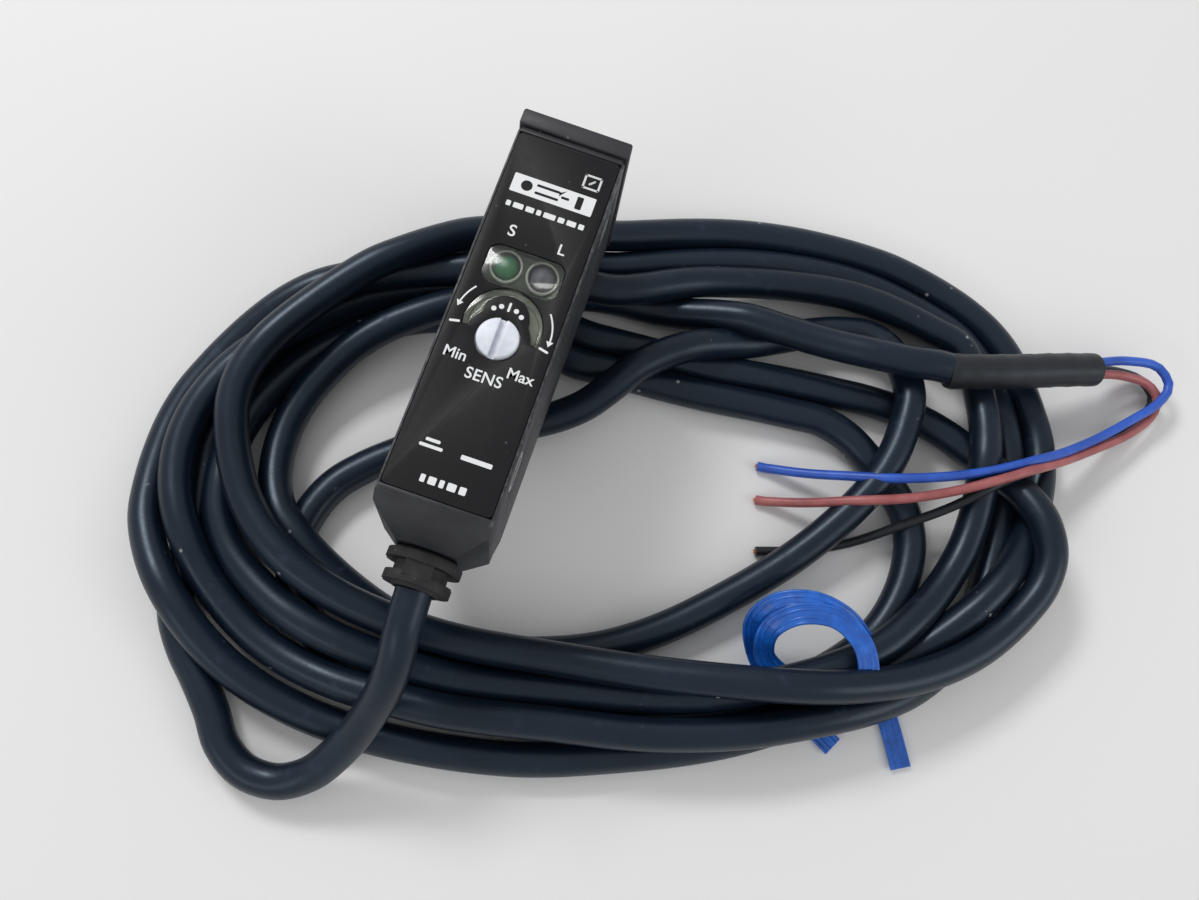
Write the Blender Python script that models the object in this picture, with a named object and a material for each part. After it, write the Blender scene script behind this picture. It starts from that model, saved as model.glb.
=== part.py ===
"""Slim photoelectric sensor in a plastic case, with its coiled cable.

Frame: X runs across the sensor, Y along it with the cable end at -Y, and Z out of the operation panel.
The light leaves and enters through the front cover on the -Z side. The origin is the middle of the
sensor without its cable, and the cable lies below it on a flat surface.
"""

import math

import bmesh
import bpy
from mathutils import Matrix, Vector

MM = 0.001

# Driving dimensions of the sensor
CASE_WIDTH = 12.0 * MM
CASE_LENGTH = 44.8 * MM
CASE_DEPTH = 21.0 * MM
WALL = 1.0 * MM
CASE_EDGE = 0.5 * MM
END_WALL = 4.3 * MM
PANEL_TAPER_LENGTH = 3.2 * MM
PANEL_TAPER_DEPTH = 5.7 * MM
SIDE_TAPER_LENGTH = 2.1 * MM
FRONT_SLOPE_LENGTH = 6.25 * MM
FRONT_SLOPE_END = 3.25 * MM
FRONT_SLOPE_RISE = 5.1 * MM
FRONT_SLOPE_TIP_RISE = 6.8 * MM
CABLE_END_WIDTH = 6.6 * MM
CAP_THICKNESS = 1.95 * MM
CAP_OVERHANG = 0.15 * MM
CAP_LIP_LENGTH = 2.6 * MM
SEAL_THICKNESS = 0.35 * MM
TOUCH_GAP = 0.1 * MM
FIT_GAP = 0.15 * MM

# Operation panel
LABEL_THICKNESS = 0.4 * MM
LABEL_BORDER = 0.28 * MM
LABEL_END_RUN = 0.3 * MM
DIAL_Y = -0.9 * MM
KNOB_OFFSET = 1.5 * MM
DIAL_RADIUS = 4.15 * MM
HUB_OFFSET = 0.9 * MM
HUB_RADIUS = 2.45 * MM
KNOB_SURROUND_RADIUS = 3.3 * MM
WINDOW_HALF_WIDTH = 4.2 * MM
WINDOW_LOW = 3.2 * MM
WINDOW_HIGH = 7.7 * MM
WINDOW_CORNER = 1.3 * MM
LENS_PLATE = 0.4 * MM

# Adjuster and its indicator wheel
KNOB_RADIUS = 2.2 * MM
KNOB_HEIGHT = 0.9 * MM
KNOB_PROUD = 0.4 * MM
KNOB_FLANGE_RADIUS = 2.6 * MM
KNOB_FLANGE = 0.25 * MM
SLOT_WIDTH = 0.7 * MM
SLOT_DEPTH = 0.55 * MM
PINION_TEETH = 8
RING_TEETH = 28
GEAR_THICKNESS = 0.6 * MM
WHEEL_RIM_GAP = 0.1 * MM
WHEEL_FLOOR = 0.35 * MM
WHEEL_SHAFT_RADIUS = 0.9 * MM
WHEEL_SHAFT_LENGTH = 2.1 * MM
POINTER_RADIUS = 0.25 * MM
POINTER_REACH = 3.6 * MM
POINTER_PROUD = 0.06 * MM
HOUSING_THICKNESS = 0.9 * MM
RING_SEAL_WIRE = 0.28 * MM
TRIMMER_SIDE = 6.4 * MM
TRIMMER_HEIGHT = 3.1 * MM
LED_RADIUS = 1.45 * MM
LED_SPACING = 3.8 * MM
LED_Y = 5.9 * MM
LED_HEIGHT = 5.7 * MM
LED_FLANGE = 0.15 * MM

# Boards and optics
BOARD_THICKNESS = 0.9 * MM
BOARD_HALF_WIDTH = 4.6 * MM
MAIN_BOARD_Z = 0.0 * MM
MAIN_BOARD_HIGH_Y = 17.4 * MM
JACKET_RUN_INSIDE = 3.0 * MM
WIRE_END_RUN = 1.15 * MM
PANEL_BOARD_Z = 2.8 * MM
PANEL_BOARD_SPAN = (-7.6 * MM, 10.0 * MM)
LENS_RADIUS = 4.1 * MM
LENS_EDGE = 1.0 * MM
LENS_CROWN = 1.5 * MM
LENS_RIM = 0.5 * MM
LENS_SEAT = 0.4 * MM
EMITTER_Y = 9.0 * MM
RECEIVER_Y = -6.0 * MM
HOLDER_SPAN = (-11.0 * MM, 14.0 * MM)
DETECTOR_RADIUS = 1.5 * MM
DETECTOR_HEIGHT = 3.2 * MM
FILTER_THICKNESS = 0.3 * MM
COVER_THICKNESS = 0.9 * MM
COVER_BORDER = 0.4 * MM
COVER_LEDGE = 1.0 * MM
COVER_SPAN = (-16.6 * MM, 20.4 * MM)
SLEEVE_BORE = 1.6 * MM
SLEEVE_WALL = 0.6 * MM
SLEEVE_BOSS_WALL = 0.8 * MM
SLEEVE_Z = 5.6 * MM
SLEEVE_PLACES = (-13.6 * MM, 15.6 * MM)

# Cable and what is on it
CABLE_RADIUS = 2.0 * MM
WIRE_RADIUS = 0.6 * MM
NECK_RADIUS = 3.3 * MM
FIRST_RIB_RADIUS = 4.05 * MM
SECOND_RIB_RADIUS = 3.65 * MM
RIB_THICKNESS = 1.0 * MM
RIB_PITCH = 2.25 * MM
RELIEF_LENGTH = 4.0 * MM
FIRST_RIB_GAP = 0.35 * MM
RIB_GROOVE_DEPTH = 0.4 * MM
RELIEF_NOSE_WALL = 0.7 * MM
RELIEF_TIP_WALL = 0.5 * MM
CLAMP_WALL = 0.5 * MM
CLAMP_GRIP_GAP = 0.05 * MM
CLAMP_LENGTH = 1.4 * MM
WIRE_END_GAP = 0.5 * MM
SLEEVED_END_RADIUS = 2.45 * MM
FLOOR_Z = -19.6 * MM
CORD_GAP = 0.3 * MM
COIL_CENTRE = (14.5 * MM, -2.6 * MM)
COIL_TURN = math.radians(18.0)
COIL_HALF_LENGTH = 58.2 * MM
COIL_HALF_WIDTH = 38.6 * MM
HOLE_HALF_LENGTH = 34.0 * MM
HOLE_HALF_WIDTH = 17.0 * MM
COIL_HEIGHT = 8.6 * MM
TIE_THICKNESS = 0.7 * MM
TIE_WIDTH = 2.4 * MM
TIE_DIRECTION = math.radians(-42.0)

# Routes of the stretches that are not coiled, in millimetres
LEAD_ROUTE = (
    (0.0, -28.0, 0.0), (0.0, -30.6, -0.1), (0.1, -34.0, -1.5), (-0.2, -38.0, -4.6), (-1.4, -42.6, -7.4),
    (-3.2, -47.0, -10.6), (-5.8, -50.4, -14.4), (-9.4, -52.0, -17.0), (-13.4, -51.4, -17.5),
    (-17.0, -48.8, -17.5), (-19.8, -45.4, -17.5),
)
TAIL_ROUTE = (
    (17.0, 19.6, -8.6), (24.0, 19.7, -8.6), (31.0, 19.6, -8.6), (38.0, 19.6, -8.6), (44.6, 20.2, -8.4),
    (50.5, 21.4, -8.1),
)
SLEEVE_ROUTE = (
    (50.8, 21.5, -8.1), (55.5, 22.9, -8.0), (60.5, 24.9, -8.0), (65.5, 27.1, -8.8), (70.6, 29.5, -10.8),
)
BLUE_ROUTE = (
    (71.1, 30.3, -10.9), (74.4, 32.2, -13.2), (78.4, 33.6, -16.6), (81.2, 32.0, -18.7), (81.6, 28.0, -18.8),
    (79.6, 23.8, -17.6), (75.4, 19.6, -13.2), (70.4, 16.2, -10.0), (64.0, 12.8, -9.9), (56.8, 9.4, -9.9),
    (50.4, 7.2, -9.9), (44.6, 6.0, -10.0), (40.2, 5.4, -12.6), (37.4, 4.8, -17.2), (35.6, 4.4, -18.7),
    (32.8, 3.8, -18.8),
)
BROWN_ROUTE = (
    (71.3, 28.9, -11.3), (74.6, 29.8, -13.8), (77.4, 29.0, -17.0), (78.2, 26.4, -18.6), (77.0, 21.2, -17.2),
    (73.6, 15.8, -12.0), (69.0, 12.4, -9.8), (62.6, 10.2, -9.9), (55.8, 6.9, -9.9), (49.6, 4.4, -9.9),
    (44.4, 2.6, -10.0), (40.2, 1.4, -12.8), (37.6, 0.6, -17.4), (36.0, 0.1, -18.7), (33.8, -0.5, -18.8),
)
BLACK_ROUTE = (
    (70.6, 31.0, -12.3), (73.0, 33.6, -15.0), (76.4, 35.8, -17.8), (80.2, 36.2, -18.8), (83.4, 33.8, -18.8),
    (84.2, 29.0, -18.8), (82.6, 23.4, -18.8), (79.4, 17.2, -17.0), (75.2, 12.2, -11.4), (69.4, 8.6, -9.8),
    (62.2, 5.8, -9.9), (55.4, 3.4, -9.9), (49.4, 1.4, -9.9), (44.0, -0.6, -10.0), (40.2, -2.8, -13.4),
    (38.2, -4.4, -17.8), (37.2, -5.4, -18.8), (35.6, -6.8, -18.8),
)

# Levels and places that follow from the sizes above
HALF_WIDTH = CASE_WIDTH / 2
TOTAL_LENGTH = CASE_LENGTH + SEAL_THICKNESS + 2 * TOUCH_GAP + CAP_THICKNESS
CABLE_END_Y = -TOTAL_LENGTH / 2
CASE_TOP_Y = CABLE_END_Y + CASE_LENGTH
CAP_TOP_Y = CABLE_END_Y + TOTAL_LENGTH
FRONT_Z = -(CASE_DEPTH + KNOB_PROUD) / 2
PANEL_Z = FRONT_Z + CASE_DEPTH
LABEL_BACK_Z = PANEL_Z - LABEL_THICKNESS
KNOB_TOP_Z = PANEL_Z + KNOB_PROUD
KNOB_BASE_Z = KNOB_TOP_Z - KNOB_HEIGHT
FLANGE_BACK_Z = KNOB_BASE_Z - KNOB_FLANGE
WHEEL_TOP_Z = FLANGE_BACK_Z - TOUCH_GAP
WHEEL_POCKET_Z = WHEEL_TOP_Z - GEAR_THICKNESS - TOUCH_GAP
WHEEL_BACK_Z = WHEEL_POCKET_Z - WHEEL_FLOOR
WALL_BACK_Z = LABEL_BACK_Z - TOUCH_GAP - WALL
HOUSING_TOP_Z = min(WHEEL_BACK_Z, WALL_BACK_Z) - FIT_GAP
HOUSING_BACK_Z = HOUSING_TOP_Z - HOUSING_THICKNESS
PANEL_BOARD_TOP_Z = PANEL_BOARD_Z + BOARD_THICKNESS
MAIN_BOARD_TOP_Z = MAIN_BOARD_Z + BOARD_THICKNESS
KNOB_Y = DIAL_Y - KNOB_OFFSET
GEAR_MODULE = 2 * KNOB_OFFSET / (RING_TEETH - PINION_TEETH)
WHEEL_RADIUS = DIAL_RADIUS - WHEEL_RIM_GAP
WHEEL_SWEEP = 4 * math.pi * PINION_TEETH / RING_TEETH
CRESCENT_HALF_ANGLE = WHEEL_SWEEP / 2 + math.radians(4.0)
INNER_HALF_WIDTH = HALF_WIDTH - WALL
COVER_HALF_WIDTH = HALF_WIDTH - COVER_BORDER
COVER_BACK_Z = FRONT_Z + COVER_THICKNESS
GASKET_THICKNESS = 0.25 * MM
LEDGE_Z = COVER_BACK_Z + GASKET_THICKNESS + 2 * TOUCH_GAP
FILTER_Z = LEDGE_Z + TOUCH_GAP
LENS_Z = FILTER_Z + FILTER_THICKNESS + TOUCH_GAP
SLEEVE_RADIUS = SLEEVE_BORE + SLEEVE_WALL
RELIEF_END_Y = CABLE_END_Y - RELIEF_LENGTH
INSIDE_LOW_Y = CABLE_END_Y + END_WALL
JACKET_END_Y = INSIDE_LOW_Y + JACKET_RUN_INSIDE
MAIN_BOARD_SPAN = (JACKET_END_Y + WIRE_END_RUN, MAIN_BOARD_HIGH_Y)

root = None


def material(name, colour, roughness, metallic=0.0, transmission=0.0):
    found = bpy.data.materials.new(name)
    found.use_nodes = True
    shader = found.node_tree.nodes["Principled BSDF"]
    shader.inputs["Base Color"].default_value = (*colour, 1.0)
    shader.inputs["Roughness"].default_value = roughness
    shader.inputs["Metallic"].default_value = metallic
    shader.inputs["Transmission Weight"].default_value = transmission
    return found


def clear_scene():
    for obj in list(bpy.data.objects):
        bpy.data.objects.remove(obj, do_unlink=True)


def link(name, mesh, finish=None, parent=None):
    """A new object for this mesh, round faces shaded smooth."""
    obj = bpy.data.objects.new(name, mesh)
    bpy.context.scene.collection.objects.link(obj)
    if finish:
        mesh.materials.append(finish)
    mesh.shade_smooth()
    mesh.set_sharp_from_angle(angle=math.radians(35))
    obj.parent = parent or root
    return obj


def as_mesh(shape, name="shape"):
    bmesh.ops.recalc_face_normals(shape, faces=shape.faces)
    mesh = bpy.data.meshes.new(name)
    shape.to_mesh(mesh)
    shape.free()
    return mesh


def piece(name, shape, finish, parent=None):
    return link(name, as_mesh(shape, name), finish, parent)


def block(x, y, z):
    """A box between two values on each axis."""
    shape = bmesh.new()
    bmesh.ops.create_cube(shape, size=1.0)
    middle = Vector((sum(x) / 2, sum(y) / 2, sum(z) / 2))
    size = Vector((x[1] - x[0], y[1] - y[0], z[1] - z[0]))
    bmesh.ops.transform(
        shape, matrix=Matrix.Translation(middle) @ Matrix.Diagonal((*size, 1.0)), verts=shape.verts
    )
    return shape


def prism(outline, low, high, axis="Z"):
    """An outline of (a, b) points extruded along an axis; it must run round in one direction."""
    shape = bmesh.new()
    place = {
        "X": lambda a, b, h: (h, a, b),
        "Y": lambda a, b, h: (a, h, b),
        "Z": lambda a, b, h: (a, b, h),
    }[axis]
    rings = [[shape.verts.new(place(a, b, h)) for a, b in outline] for h in (low, high)]
    count = len(outline)
    for i in range(count):
        j = (i + 1) % count
        shape.faces.new((rings[0][i], rings[0][j], rings[1][j], rings[1][i]))
    shape.faces.new(rings[0][::-1])
    shape.faces.new(rings[1])
    return shape


def circle(radius, centre=(0.0, 0.0), steps=40, start=0.0):
    """The points of a circle, its corners on the true radius."""
    turn = 2 * math.pi / steps
    return [
        (centre[0] + radius * math.cos(start + turn * i), centre[1] + radius * math.sin(start + turn * i))
        for i in range(steps)
    ]


def rod(radius, low, high, centre=(0.0, 0.0), axis="Z", steps=40):
    return prism(circle(radius, centre, steps), low, high, axis)


def rounded_box(half_width, low, high, corner, steps=5):
    """A rectangle about X = 0 with round corners, as points."""
    points = []
    corners = (
        (half_width - corner, high - corner, 0), (corner - half_width, high - corner, 1),
        (corner - half_width, low + corner, 2), (half_width - corner, low + corner, 3),
    )
    for x, y, quarter in corners:
        for i in range(steps + 1):
            angle = (quarter + i / steps) * math.pi / 2
            points.append((x + corner * math.cos(angle), y + corner * math.sin(angle)))
    return points


def turned(profile, centre=(0.0, 0.0), axis="Z", steps=32):
    """A closed (radius, height) profile turned about an axis; radius 0 closes onto the axis."""
    shape = bmesh.new()
    places = {"X": lambda a, b, h: (h, a, b), "Y": lambda a, b, h: (a, h, b), "Z": lambda a, b, h: (a, b, h)}
    place = places[axis]
    rings = []
    for radius, height in profile:
        if radius == 0.0:
            rings.append([shape.verts.new(place(centre[0], centre[1], height))] * steps)
            continue
        rings.append([shape.verts.new(place(a, b, height)) for a, b in circle(radius, centre, steps)])
    on_axis = profile[0][0] == 0.0 and profile[-1][0] == 0.0
    pairs = list(zip(rings, rings[1:])) if on_axis else list(zip(rings, rings[1:] + rings[:1]))
    for first, second in pairs:
        for i in range(steps):
            j = (i + 1) % steps
            corners = list(dict.fromkeys((first[i], first[j], second[j], second[i])))
            if len(corners) > 2:
                shape.faces.new(corners)
    return shape


def ring_of(major, minor, height, centre=(0.0, 0.0), steps=28, sides=8):
    """An O-ring lying in a plane of constant Z."""
    profile = [(major + a, height + b) for a, b in circle(minor, steps=sides)]
    return turned(profile, centre, "Z", steps)


def combine(obj, shape, operation):
    """A Boolean on this object with a helper that is kept out of the model."""
    helper = link(f"helper_{obj.name}_{len(obj.modifiers)}", as_mesh(shape))
    helper.hide_render = True
    helper.display_type = "WIRE"
    modifier = obj.modifiers.new(f"{operation.lower()}_{len(obj.modifiers)}", "BOOLEAN")
    modifier.operation = operation
    modifier.solver = "EXACT"
    modifier.object = helper
    return obj


def cut(obj, *shapes):
    for shape in shapes:
        combine(obj, shape, "DIFFERENCE")
    return obj


def add(obj, *shapes):
    for shape in shapes:
        combine(obj, shape, "UNION")
    return obj


def crescent(grow=0.0, trim=0.0):
    """The window round the dial: from the dial's circle in to the hub and the knob's surround."""
    def reach(offset, radius, angle):
        along = offset * math.sin(angle)
        return along + math.sqrt(radius**2 - (offset * math.cos(angle)) ** 2)

    steps = 36
    half = CRESCENT_HALF_ANGLE - trim
    angles = [math.pi / 2 - half + 2 * half * i / steps for i in range(steps + 1)]
    outer = [(DIAL_RADIUS + grow, angle) for angle in angles]
    inner = [
        (max(reach(HUB_OFFSET, HUB_RADIUS, a), reach(-KNOB_OFFSET, KNOB_SURROUND_RADIUS, a)) - grow, a)
        for a in angles
    ]
    return [(r * math.cos(a), DIAL_Y + r * math.sin(a)) for r, a in outer + inner[::-1]]


def gear_outline(teeth, root_radius, tip_radius, centre, root_share, tip_share, start):
    """Straight-flanked teeth; the shares are the parts of the pitch that the tooth fills."""
    pitch = 2 * math.pi / teeth
    points = []
    for i in range(teeth):
        middle = start + i * pitch
        for radius, share, side in (
            (root_radius, root_share, -1), (tip_radius, tip_share, -1),
            (tip_radius, tip_share, 1), (root_radius, root_share, 1),
        ):
            angle = middle + side * share * pitch / 2
            points.append((centre[0] + radius * math.cos(angle), centre[1] + radius * math.sin(angle)))
    return points


def case_shape():
    """The outside of the case: a long box that narrows to the cable on all four sides."""
    shape = block((-HALF_WIDTH, HALF_WIDTH), (CABLE_END_Y, CASE_TOP_Y), (FRONT_Z, PANEL_Z))
    edges = [e for e in shape.edges if abs(e.verts[0].co.y - e.verts[1].co.y) > CASE_LENGTH / 2]
    bmesh.ops.bevel(shape, geom=edges, offset=CASE_EDGE, segments=3, affect="EDGES", profile=0.5)
    return shape


def taper_cutters():
    """Wedges that leave the cable end narrow across the panel and in depth."""
    spare = 1.0 * MM
    end = CABLE_END_Y
    half = CABLE_END_WIDTH / 2
    panel_side = [(end + PANEL_TAPER_LENGTH, PANEL_Z), (end, PANEL_Z - PANEL_TAPER_DEPTH)]
    panel_side += [(end - spare, PANEL_Z - PANEL_TAPER_DEPTH), (end - spare, PANEL_Z + spare)]
    panel_side += [(end + PANEL_TAPER_LENGTH, PANEL_Z + spare)]
    light_side = [(end + FRONT_SLOPE_LENGTH, FRONT_Z), (end + FRONT_SLOPE_LENGTH, FRONT_Z - spare)]
    light_side += [(end - spare, FRONT_Z - spare), (end - spare, FRONT_Z + FRONT_SLOPE_TIP_RISE)]
    light_side += [(end, FRONT_Z + FRONT_SLOPE_TIP_RISE)]
    light_side += [(end + FRONT_SLOPE_END, FRONT_Z + FRONT_SLOPE_RISE)]
    cutters = [prism(side, -CASE_WIDTH, CASE_WIDTH, "X") for side in (panel_side, light_side)]
    for sign in (1, -1):
        side = [(sign * HALF_WIDTH, end + SIDE_TAPER_LENGTH), (sign * half, end), (sign * half, end - spare)]
        beyond = sign * (HALF_WIDTH + spare)
        side += [(beyond, end - spare), (beyond, end + SIDE_TAPER_LENGTH)]
        cutters.append(prism(side, -CASE_DEPTH, CASE_DEPTH))
    return cutters


def label_span():
    low = CABLE_END_Y + PANEL_TAPER_LENGTH + LABEL_END_RUN
    return low, CASE_TOP_Y - LABEL_BORDER


def cavity_outline():
    """The room inside, whose corner near the cable keeps a full wall along the sloped end."""
    low = LEDGE_Z + COVER_LEDGE
    run = FRONT_SLOPE_LENGTH - FRONT_SLOPE_END
    slant = math.hypot(run, FRONT_SLOPE_RISE)
    start = CABLE_END_Y + FRONT_SLOPE_LENGTH + WALL * slant / FRONT_SLOPE_RISE
    corner_y = start - (low - FRONT_Z) * run / FRONT_SLOPE_RISE
    corner_z = FRONT_Z + (start - INSIDE_LOW_Y) * FRONT_SLOPE_RISE / run
    outline = [(INSIDE_LOW_Y, corner_z), (corner_y, low), (CASE_TOP_Y + WALL, low)]
    return outline + [(CASE_TOP_Y + WALL, WALL_BACK_Z), (INSIDE_LOW_Y, WALL_BACK_Z)]


def main_case(finish):
    obj = piece("main_case", case_shape(), finish)
    cut(obj, *taper_cutters())
    cut(obj, prism(cavity_outline(), -INNER_HALF_WIDTH, INNER_HALF_WIDTH, "X"))
    add(obj, *[
        rod(SLEEVE_RADIUS + FIT_GAP + SLEEVE_BOSS_WALL, -INNER_HALF_WIDTH - WALL / 2,
            INNER_HALF_WIDTH + WALL / 2, (y, SLEEVE_Z), "X")
        for y in SLEEVE_PLACES
    ])
    cut(obj, *[
        rod(SLEEVE_RADIUS + FIT_GAP, -CASE_WIDTH, CASE_WIDTH, (y, SLEEVE_Z), "X") for y in SLEEVE_PLACES
    ])
    low, high = label_span()
    recess = (LABEL_BACK_Z - TOUCH_GAP, PANEL_Z + WALL)
    cut(obj, block((-HALF_WIDTH + LABEL_BORDER, HALF_WIDTH - LABEL_BORDER), (low, high), recess))
    through = (WALL_BACK_Z - WALL, PANEL_Z + WALL)
    grown = WINDOW_HALF_WIDTH + FIT_GAP
    cut(obj, prism(rounded_box(grown, WINDOW_LOW - FIT_GAP, WINDOW_HIGH + FIT_GAP, WINDOW_CORNER), *through))
    cut(obj, rod(DIAL_RADIUS + FIT_GAP, *through, (0.0, DIAL_Y), steps=48))
    cover = (COVER_SPAN[0] - FIT_GAP, COVER_SPAN[1] + FIT_GAP)
    half = COVER_HALF_WIDTH + FIT_GAP
    cut(obj, block((-half, half), cover, (FRONT_Z - WALL, LEDGE_Z)))
    opening = (cover[0] + COVER_LEDGE, cover[1] - COVER_LEDGE)
    half = max(half - COVER_LEDGE, LENS_RADIUS + FIT_GAP)
    cut(obj, block((-half, half), opening, (FRONT_Z - WALL, LEDGE_Z + 2 * COVER_LEDGE)))
    cut(obj, rod(NECK_RADIUS - WALL + FIT_GAP, CABLE_END_Y - WALL, INSIDE_LOW_Y + WALL, (0.0, 0.0), "Y"))
    return obj


def end_cap(finish):
    half = HALF_WIDTH + CAP_OVERHANG
    face = CAP_TOP_Y - CAP_THICKNESS
    shape = block((-half, half), (face, CAP_TOP_Y), (FRONT_Z, PANEL_Z + CAP_OVERHANG))
    bmesh.ops.bevel(shape, geom=list(shape.edges), offset=0.25 * MM, segments=2, affect="EDGES", profile=0.5)
    obj = piece("end_cap", shape, finish)
    lip = INNER_HALF_WIDTH - FIT_GAP
    depth = (LEDGE_Z + COVER_LEDGE + FIT_GAP, WALL_BACK_Z - FIT_GAP)
    root_y = face + CAP_THICKNESS / 2
    add(obj, block((-lip, lip), (face - CAP_LIP_LENGTH, root_y), depth))
    hollow = (depth[0] + WALL, depth[1] - WALL)
    cut(obj, block((-lip + WALL, lip - WALL), (face - 2 * CAP_LIP_LENGTH, face - TOUCH_GAP), hollow))
    return obj


def cap_seal(finish):
    """The flat seal whose edge shows as a dark line under the cap."""
    inset = 0.3 * MM
    low = CASE_TOP_Y + TOUCH_GAP
    half = HALF_WIDTH - inset
    shape = block((-half, half), (low, low + SEAL_THICKNESS), (FRONT_Z + inset, PANEL_Z - inset))
    obj = piece("cap_seal", shape, finish)
    lip = INNER_HALF_WIDTH
    window = (LEDGE_Z + COVER_LEDGE, WALL_BACK_Z)
    return cut(obj, block((-lip, lip), (low - WALL, low + WALL), window))


def label_panel(finish):
    low, high = label_span()
    half = HALF_WIDTH - LABEL_BORDER - TOUCH_GAP
    outline = rounded_box(half, low + TOUCH_GAP, high - TOUCH_GAP, 0.5 * MM)
    obj = piece("label_panel", prism(outline, LABEL_BACK_Z, PANEL_Z), finish)
    through = (LABEL_BACK_Z - WALL, PANEL_Z + WALL)
    cut(obj, prism(rounded_box(WINDOW_HALF_WIDTH, WINDOW_LOW, WINDOW_HIGH, WINDOW_CORNER), *through))
    cut(obj, prism(crescent(), *through))
    return cut(obj, rod(KNOB_RADIUS + FIT_GAP, *through, (0.0, KNOB_Y)))


def indicator_window(finish):
    outline = rounded_box(
        WINDOW_HALF_WIDTH - TOUCH_GAP, WINDOW_LOW, WINDOW_HIGH - TOUCH_GAP, WINDOW_CORNER - TOUCH_GAP
    )
    obj = piece("indicator_window", prism(outline, PANEL_Z - LENS_PLATE, PANEL_Z - TOUCH_GAP / 2), finish)
    return cut(obj, rod(DIAL_RADIUS + TOUCH_GAP, LABEL_BACK_Z - WALL, PANEL_Z + WALL, (0.0, DIAL_Y), steps=64))


def dial_window(finish):
    outline = crescent(-TOUCH_GAP, math.radians(1.5))
    return piece("dial_window", prism(outline, PANEL_Z - LENS_PLATE, PANEL_Z - TOUCH_GAP), finish)


def sensitivity_knob(finish, pivot):
    """The slotted knob, its flange under the label and its stub shaft, all about the knob's axis."""
    gear_back = WHEEL_TOP_Z - GEAR_THICKNESS
    shaft = GEAR_MODULE * (PINION_TEETH / 2 - 1.1)
    profile = [
        (0.0, gear_back), (shaft, gear_back), (shaft, FLANGE_BACK_Z), (KNOB_FLANGE_RADIUS, FLANGE_BACK_Z),
        (KNOB_FLANGE_RADIUS, KNOB_BASE_Z), (KNOB_RADIUS, KNOB_BASE_Z), (KNOB_RADIUS, KNOB_TOP_Z - 0.15 * MM),
        (KNOB_RADIUS - 0.15 * MM, KNOB_TOP_Z), (0.0, KNOB_TOP_Z),
    ]
    obj = piece("sensitivity_knob", turned(profile, steps=44), finish, pivot)
    slot = block((-SLOT_WIDTH / 2, SLOT_WIDTH / 2), (-KNOB_RADIUS * 2, KNOB_RADIUS * 2),
                 (KNOB_TOP_Z - SLOT_DEPTH, KNOB_TOP_Z + SLOT_DEPTH))
    cutter = cut(obj, slot).modifiers[0].object
    cutter.parent = pivot
    return obj


def adjuster_pinion(finish, pivot):
    """The small gear pressed on the knob's stub shaft."""
    pitch = GEAR_MODULE * PINION_TEETH / 2
    outline = gear_outline(
        PINION_TEETH, pitch - 0.9 * GEAR_MODULE, pitch + 0.7 * GEAR_MODULE, (0.0, 0.0), 0.6, 0.24, -math.pi / 2
    )
    bottom = WHEEL_TOP_Z - GEAR_THICKNESS + 0.02 * MM
    obj = piece("adjuster_pinion", prism(outline, bottom, FLANGE_BACK_Z - TOUCH_GAP / 2), finish, pivot)
    bore = GEAR_MODULE * (PINION_TEETH / 2 - 1.1) + 0.02 * MM
    cut(obj, rod(bore, bottom - WALL, FLANGE_BACK_Z + WALL, steps=24)).modifiers[0].object.parent = pivot
    return obj


def indicator_wheel(finish, pivot):
    """A cup with inner teeth, a pointer on its rim and a shaft that turns the trimmer."""
    shaft_end = WHEEL_BACK_Z - WHEEL_SHAFT_LENGTH
    profile = [
        (0.0, shaft_end), (WHEEL_SHAFT_RADIUS, shaft_end), (WHEEL_SHAFT_RADIUS, WHEEL_BACK_Z),
        (WHEEL_RADIUS, WHEEL_BACK_Z), (WHEEL_RADIUS, WHEEL_TOP_Z), (0.0, WHEEL_TOP_Z),
    ]
    obj = piece("indicator_wheel", turned(profile, steps=48), finish, pivot)
    pitch = GEAR_MODULE * RING_TEETH / 2
    space = gear_outline(
        RING_TEETH, pitch - 0.55 * GEAR_MODULE, pitch + 1.15 * GEAR_MODULE, (0.0, 0.0), 0.72, 0.5, -math.pi / 2
    )
    cut(obj, prism(space, WHEEL_POCKET_Z, WHEEL_TOP_Z + WALL)).modifiers[-1].object.parent = pivot
    angle = math.pi / 2 + WHEEL_SWEEP / 2
    place = (POINTER_REACH * math.cos(angle), POINTER_REACH * math.sin(angle))
    pointer = rod(POINTER_RADIUS, WHEEL_TOP_Z - WALL / 4, WHEEL_TOP_Z + POINTER_PROUD, place, steps=16)
    add(obj, pointer).modifiers[-1].object.parent = pivot
    return obj


def dial_housing(finish):
    """The plate behind the wheel, with the bore and seat of its seal."""
    top, back = HOUSING_TOP_Z, HOUSING_BACK_Z
    half = INNER_HALF_WIDTH - FIT_GAP
    span = (KNOB_Y - KNOB_FLANGE_RADIUS, LED_Y - LED_RADIUS - FIT_GAP)
    obj = piece("dial_housing", block((-half, half), span, (back, top)), finish)
    centre = (0.0, DIAL_Y)
    bore = WHEEL_SHAFT_RADIUS + TOUCH_GAP
    seat = bore + 2 * RING_SEAL_WIRE + 0.12 * MM
    cut(obj, rod(bore, back - WALL, top + WALL, centre))
    return cut(obj, rod(seat, top - HOUSING_THICKNESS * 0.75, top + WALL, centre))


def shaft_seal(finish):
    major = WHEEL_SHAFT_RADIUS + TOUCH_GAP + RING_SEAL_WIRE
    height = HOUSING_TOP_Z - HOUSING_THICKNESS * 0.75 + RING_SEAL_WIRE + 0.05 * MM
    return piece("shaft_seal", ring_of(major, RING_SEAL_WIRE, height, (0.0, DIAL_Y)), finish)


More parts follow.
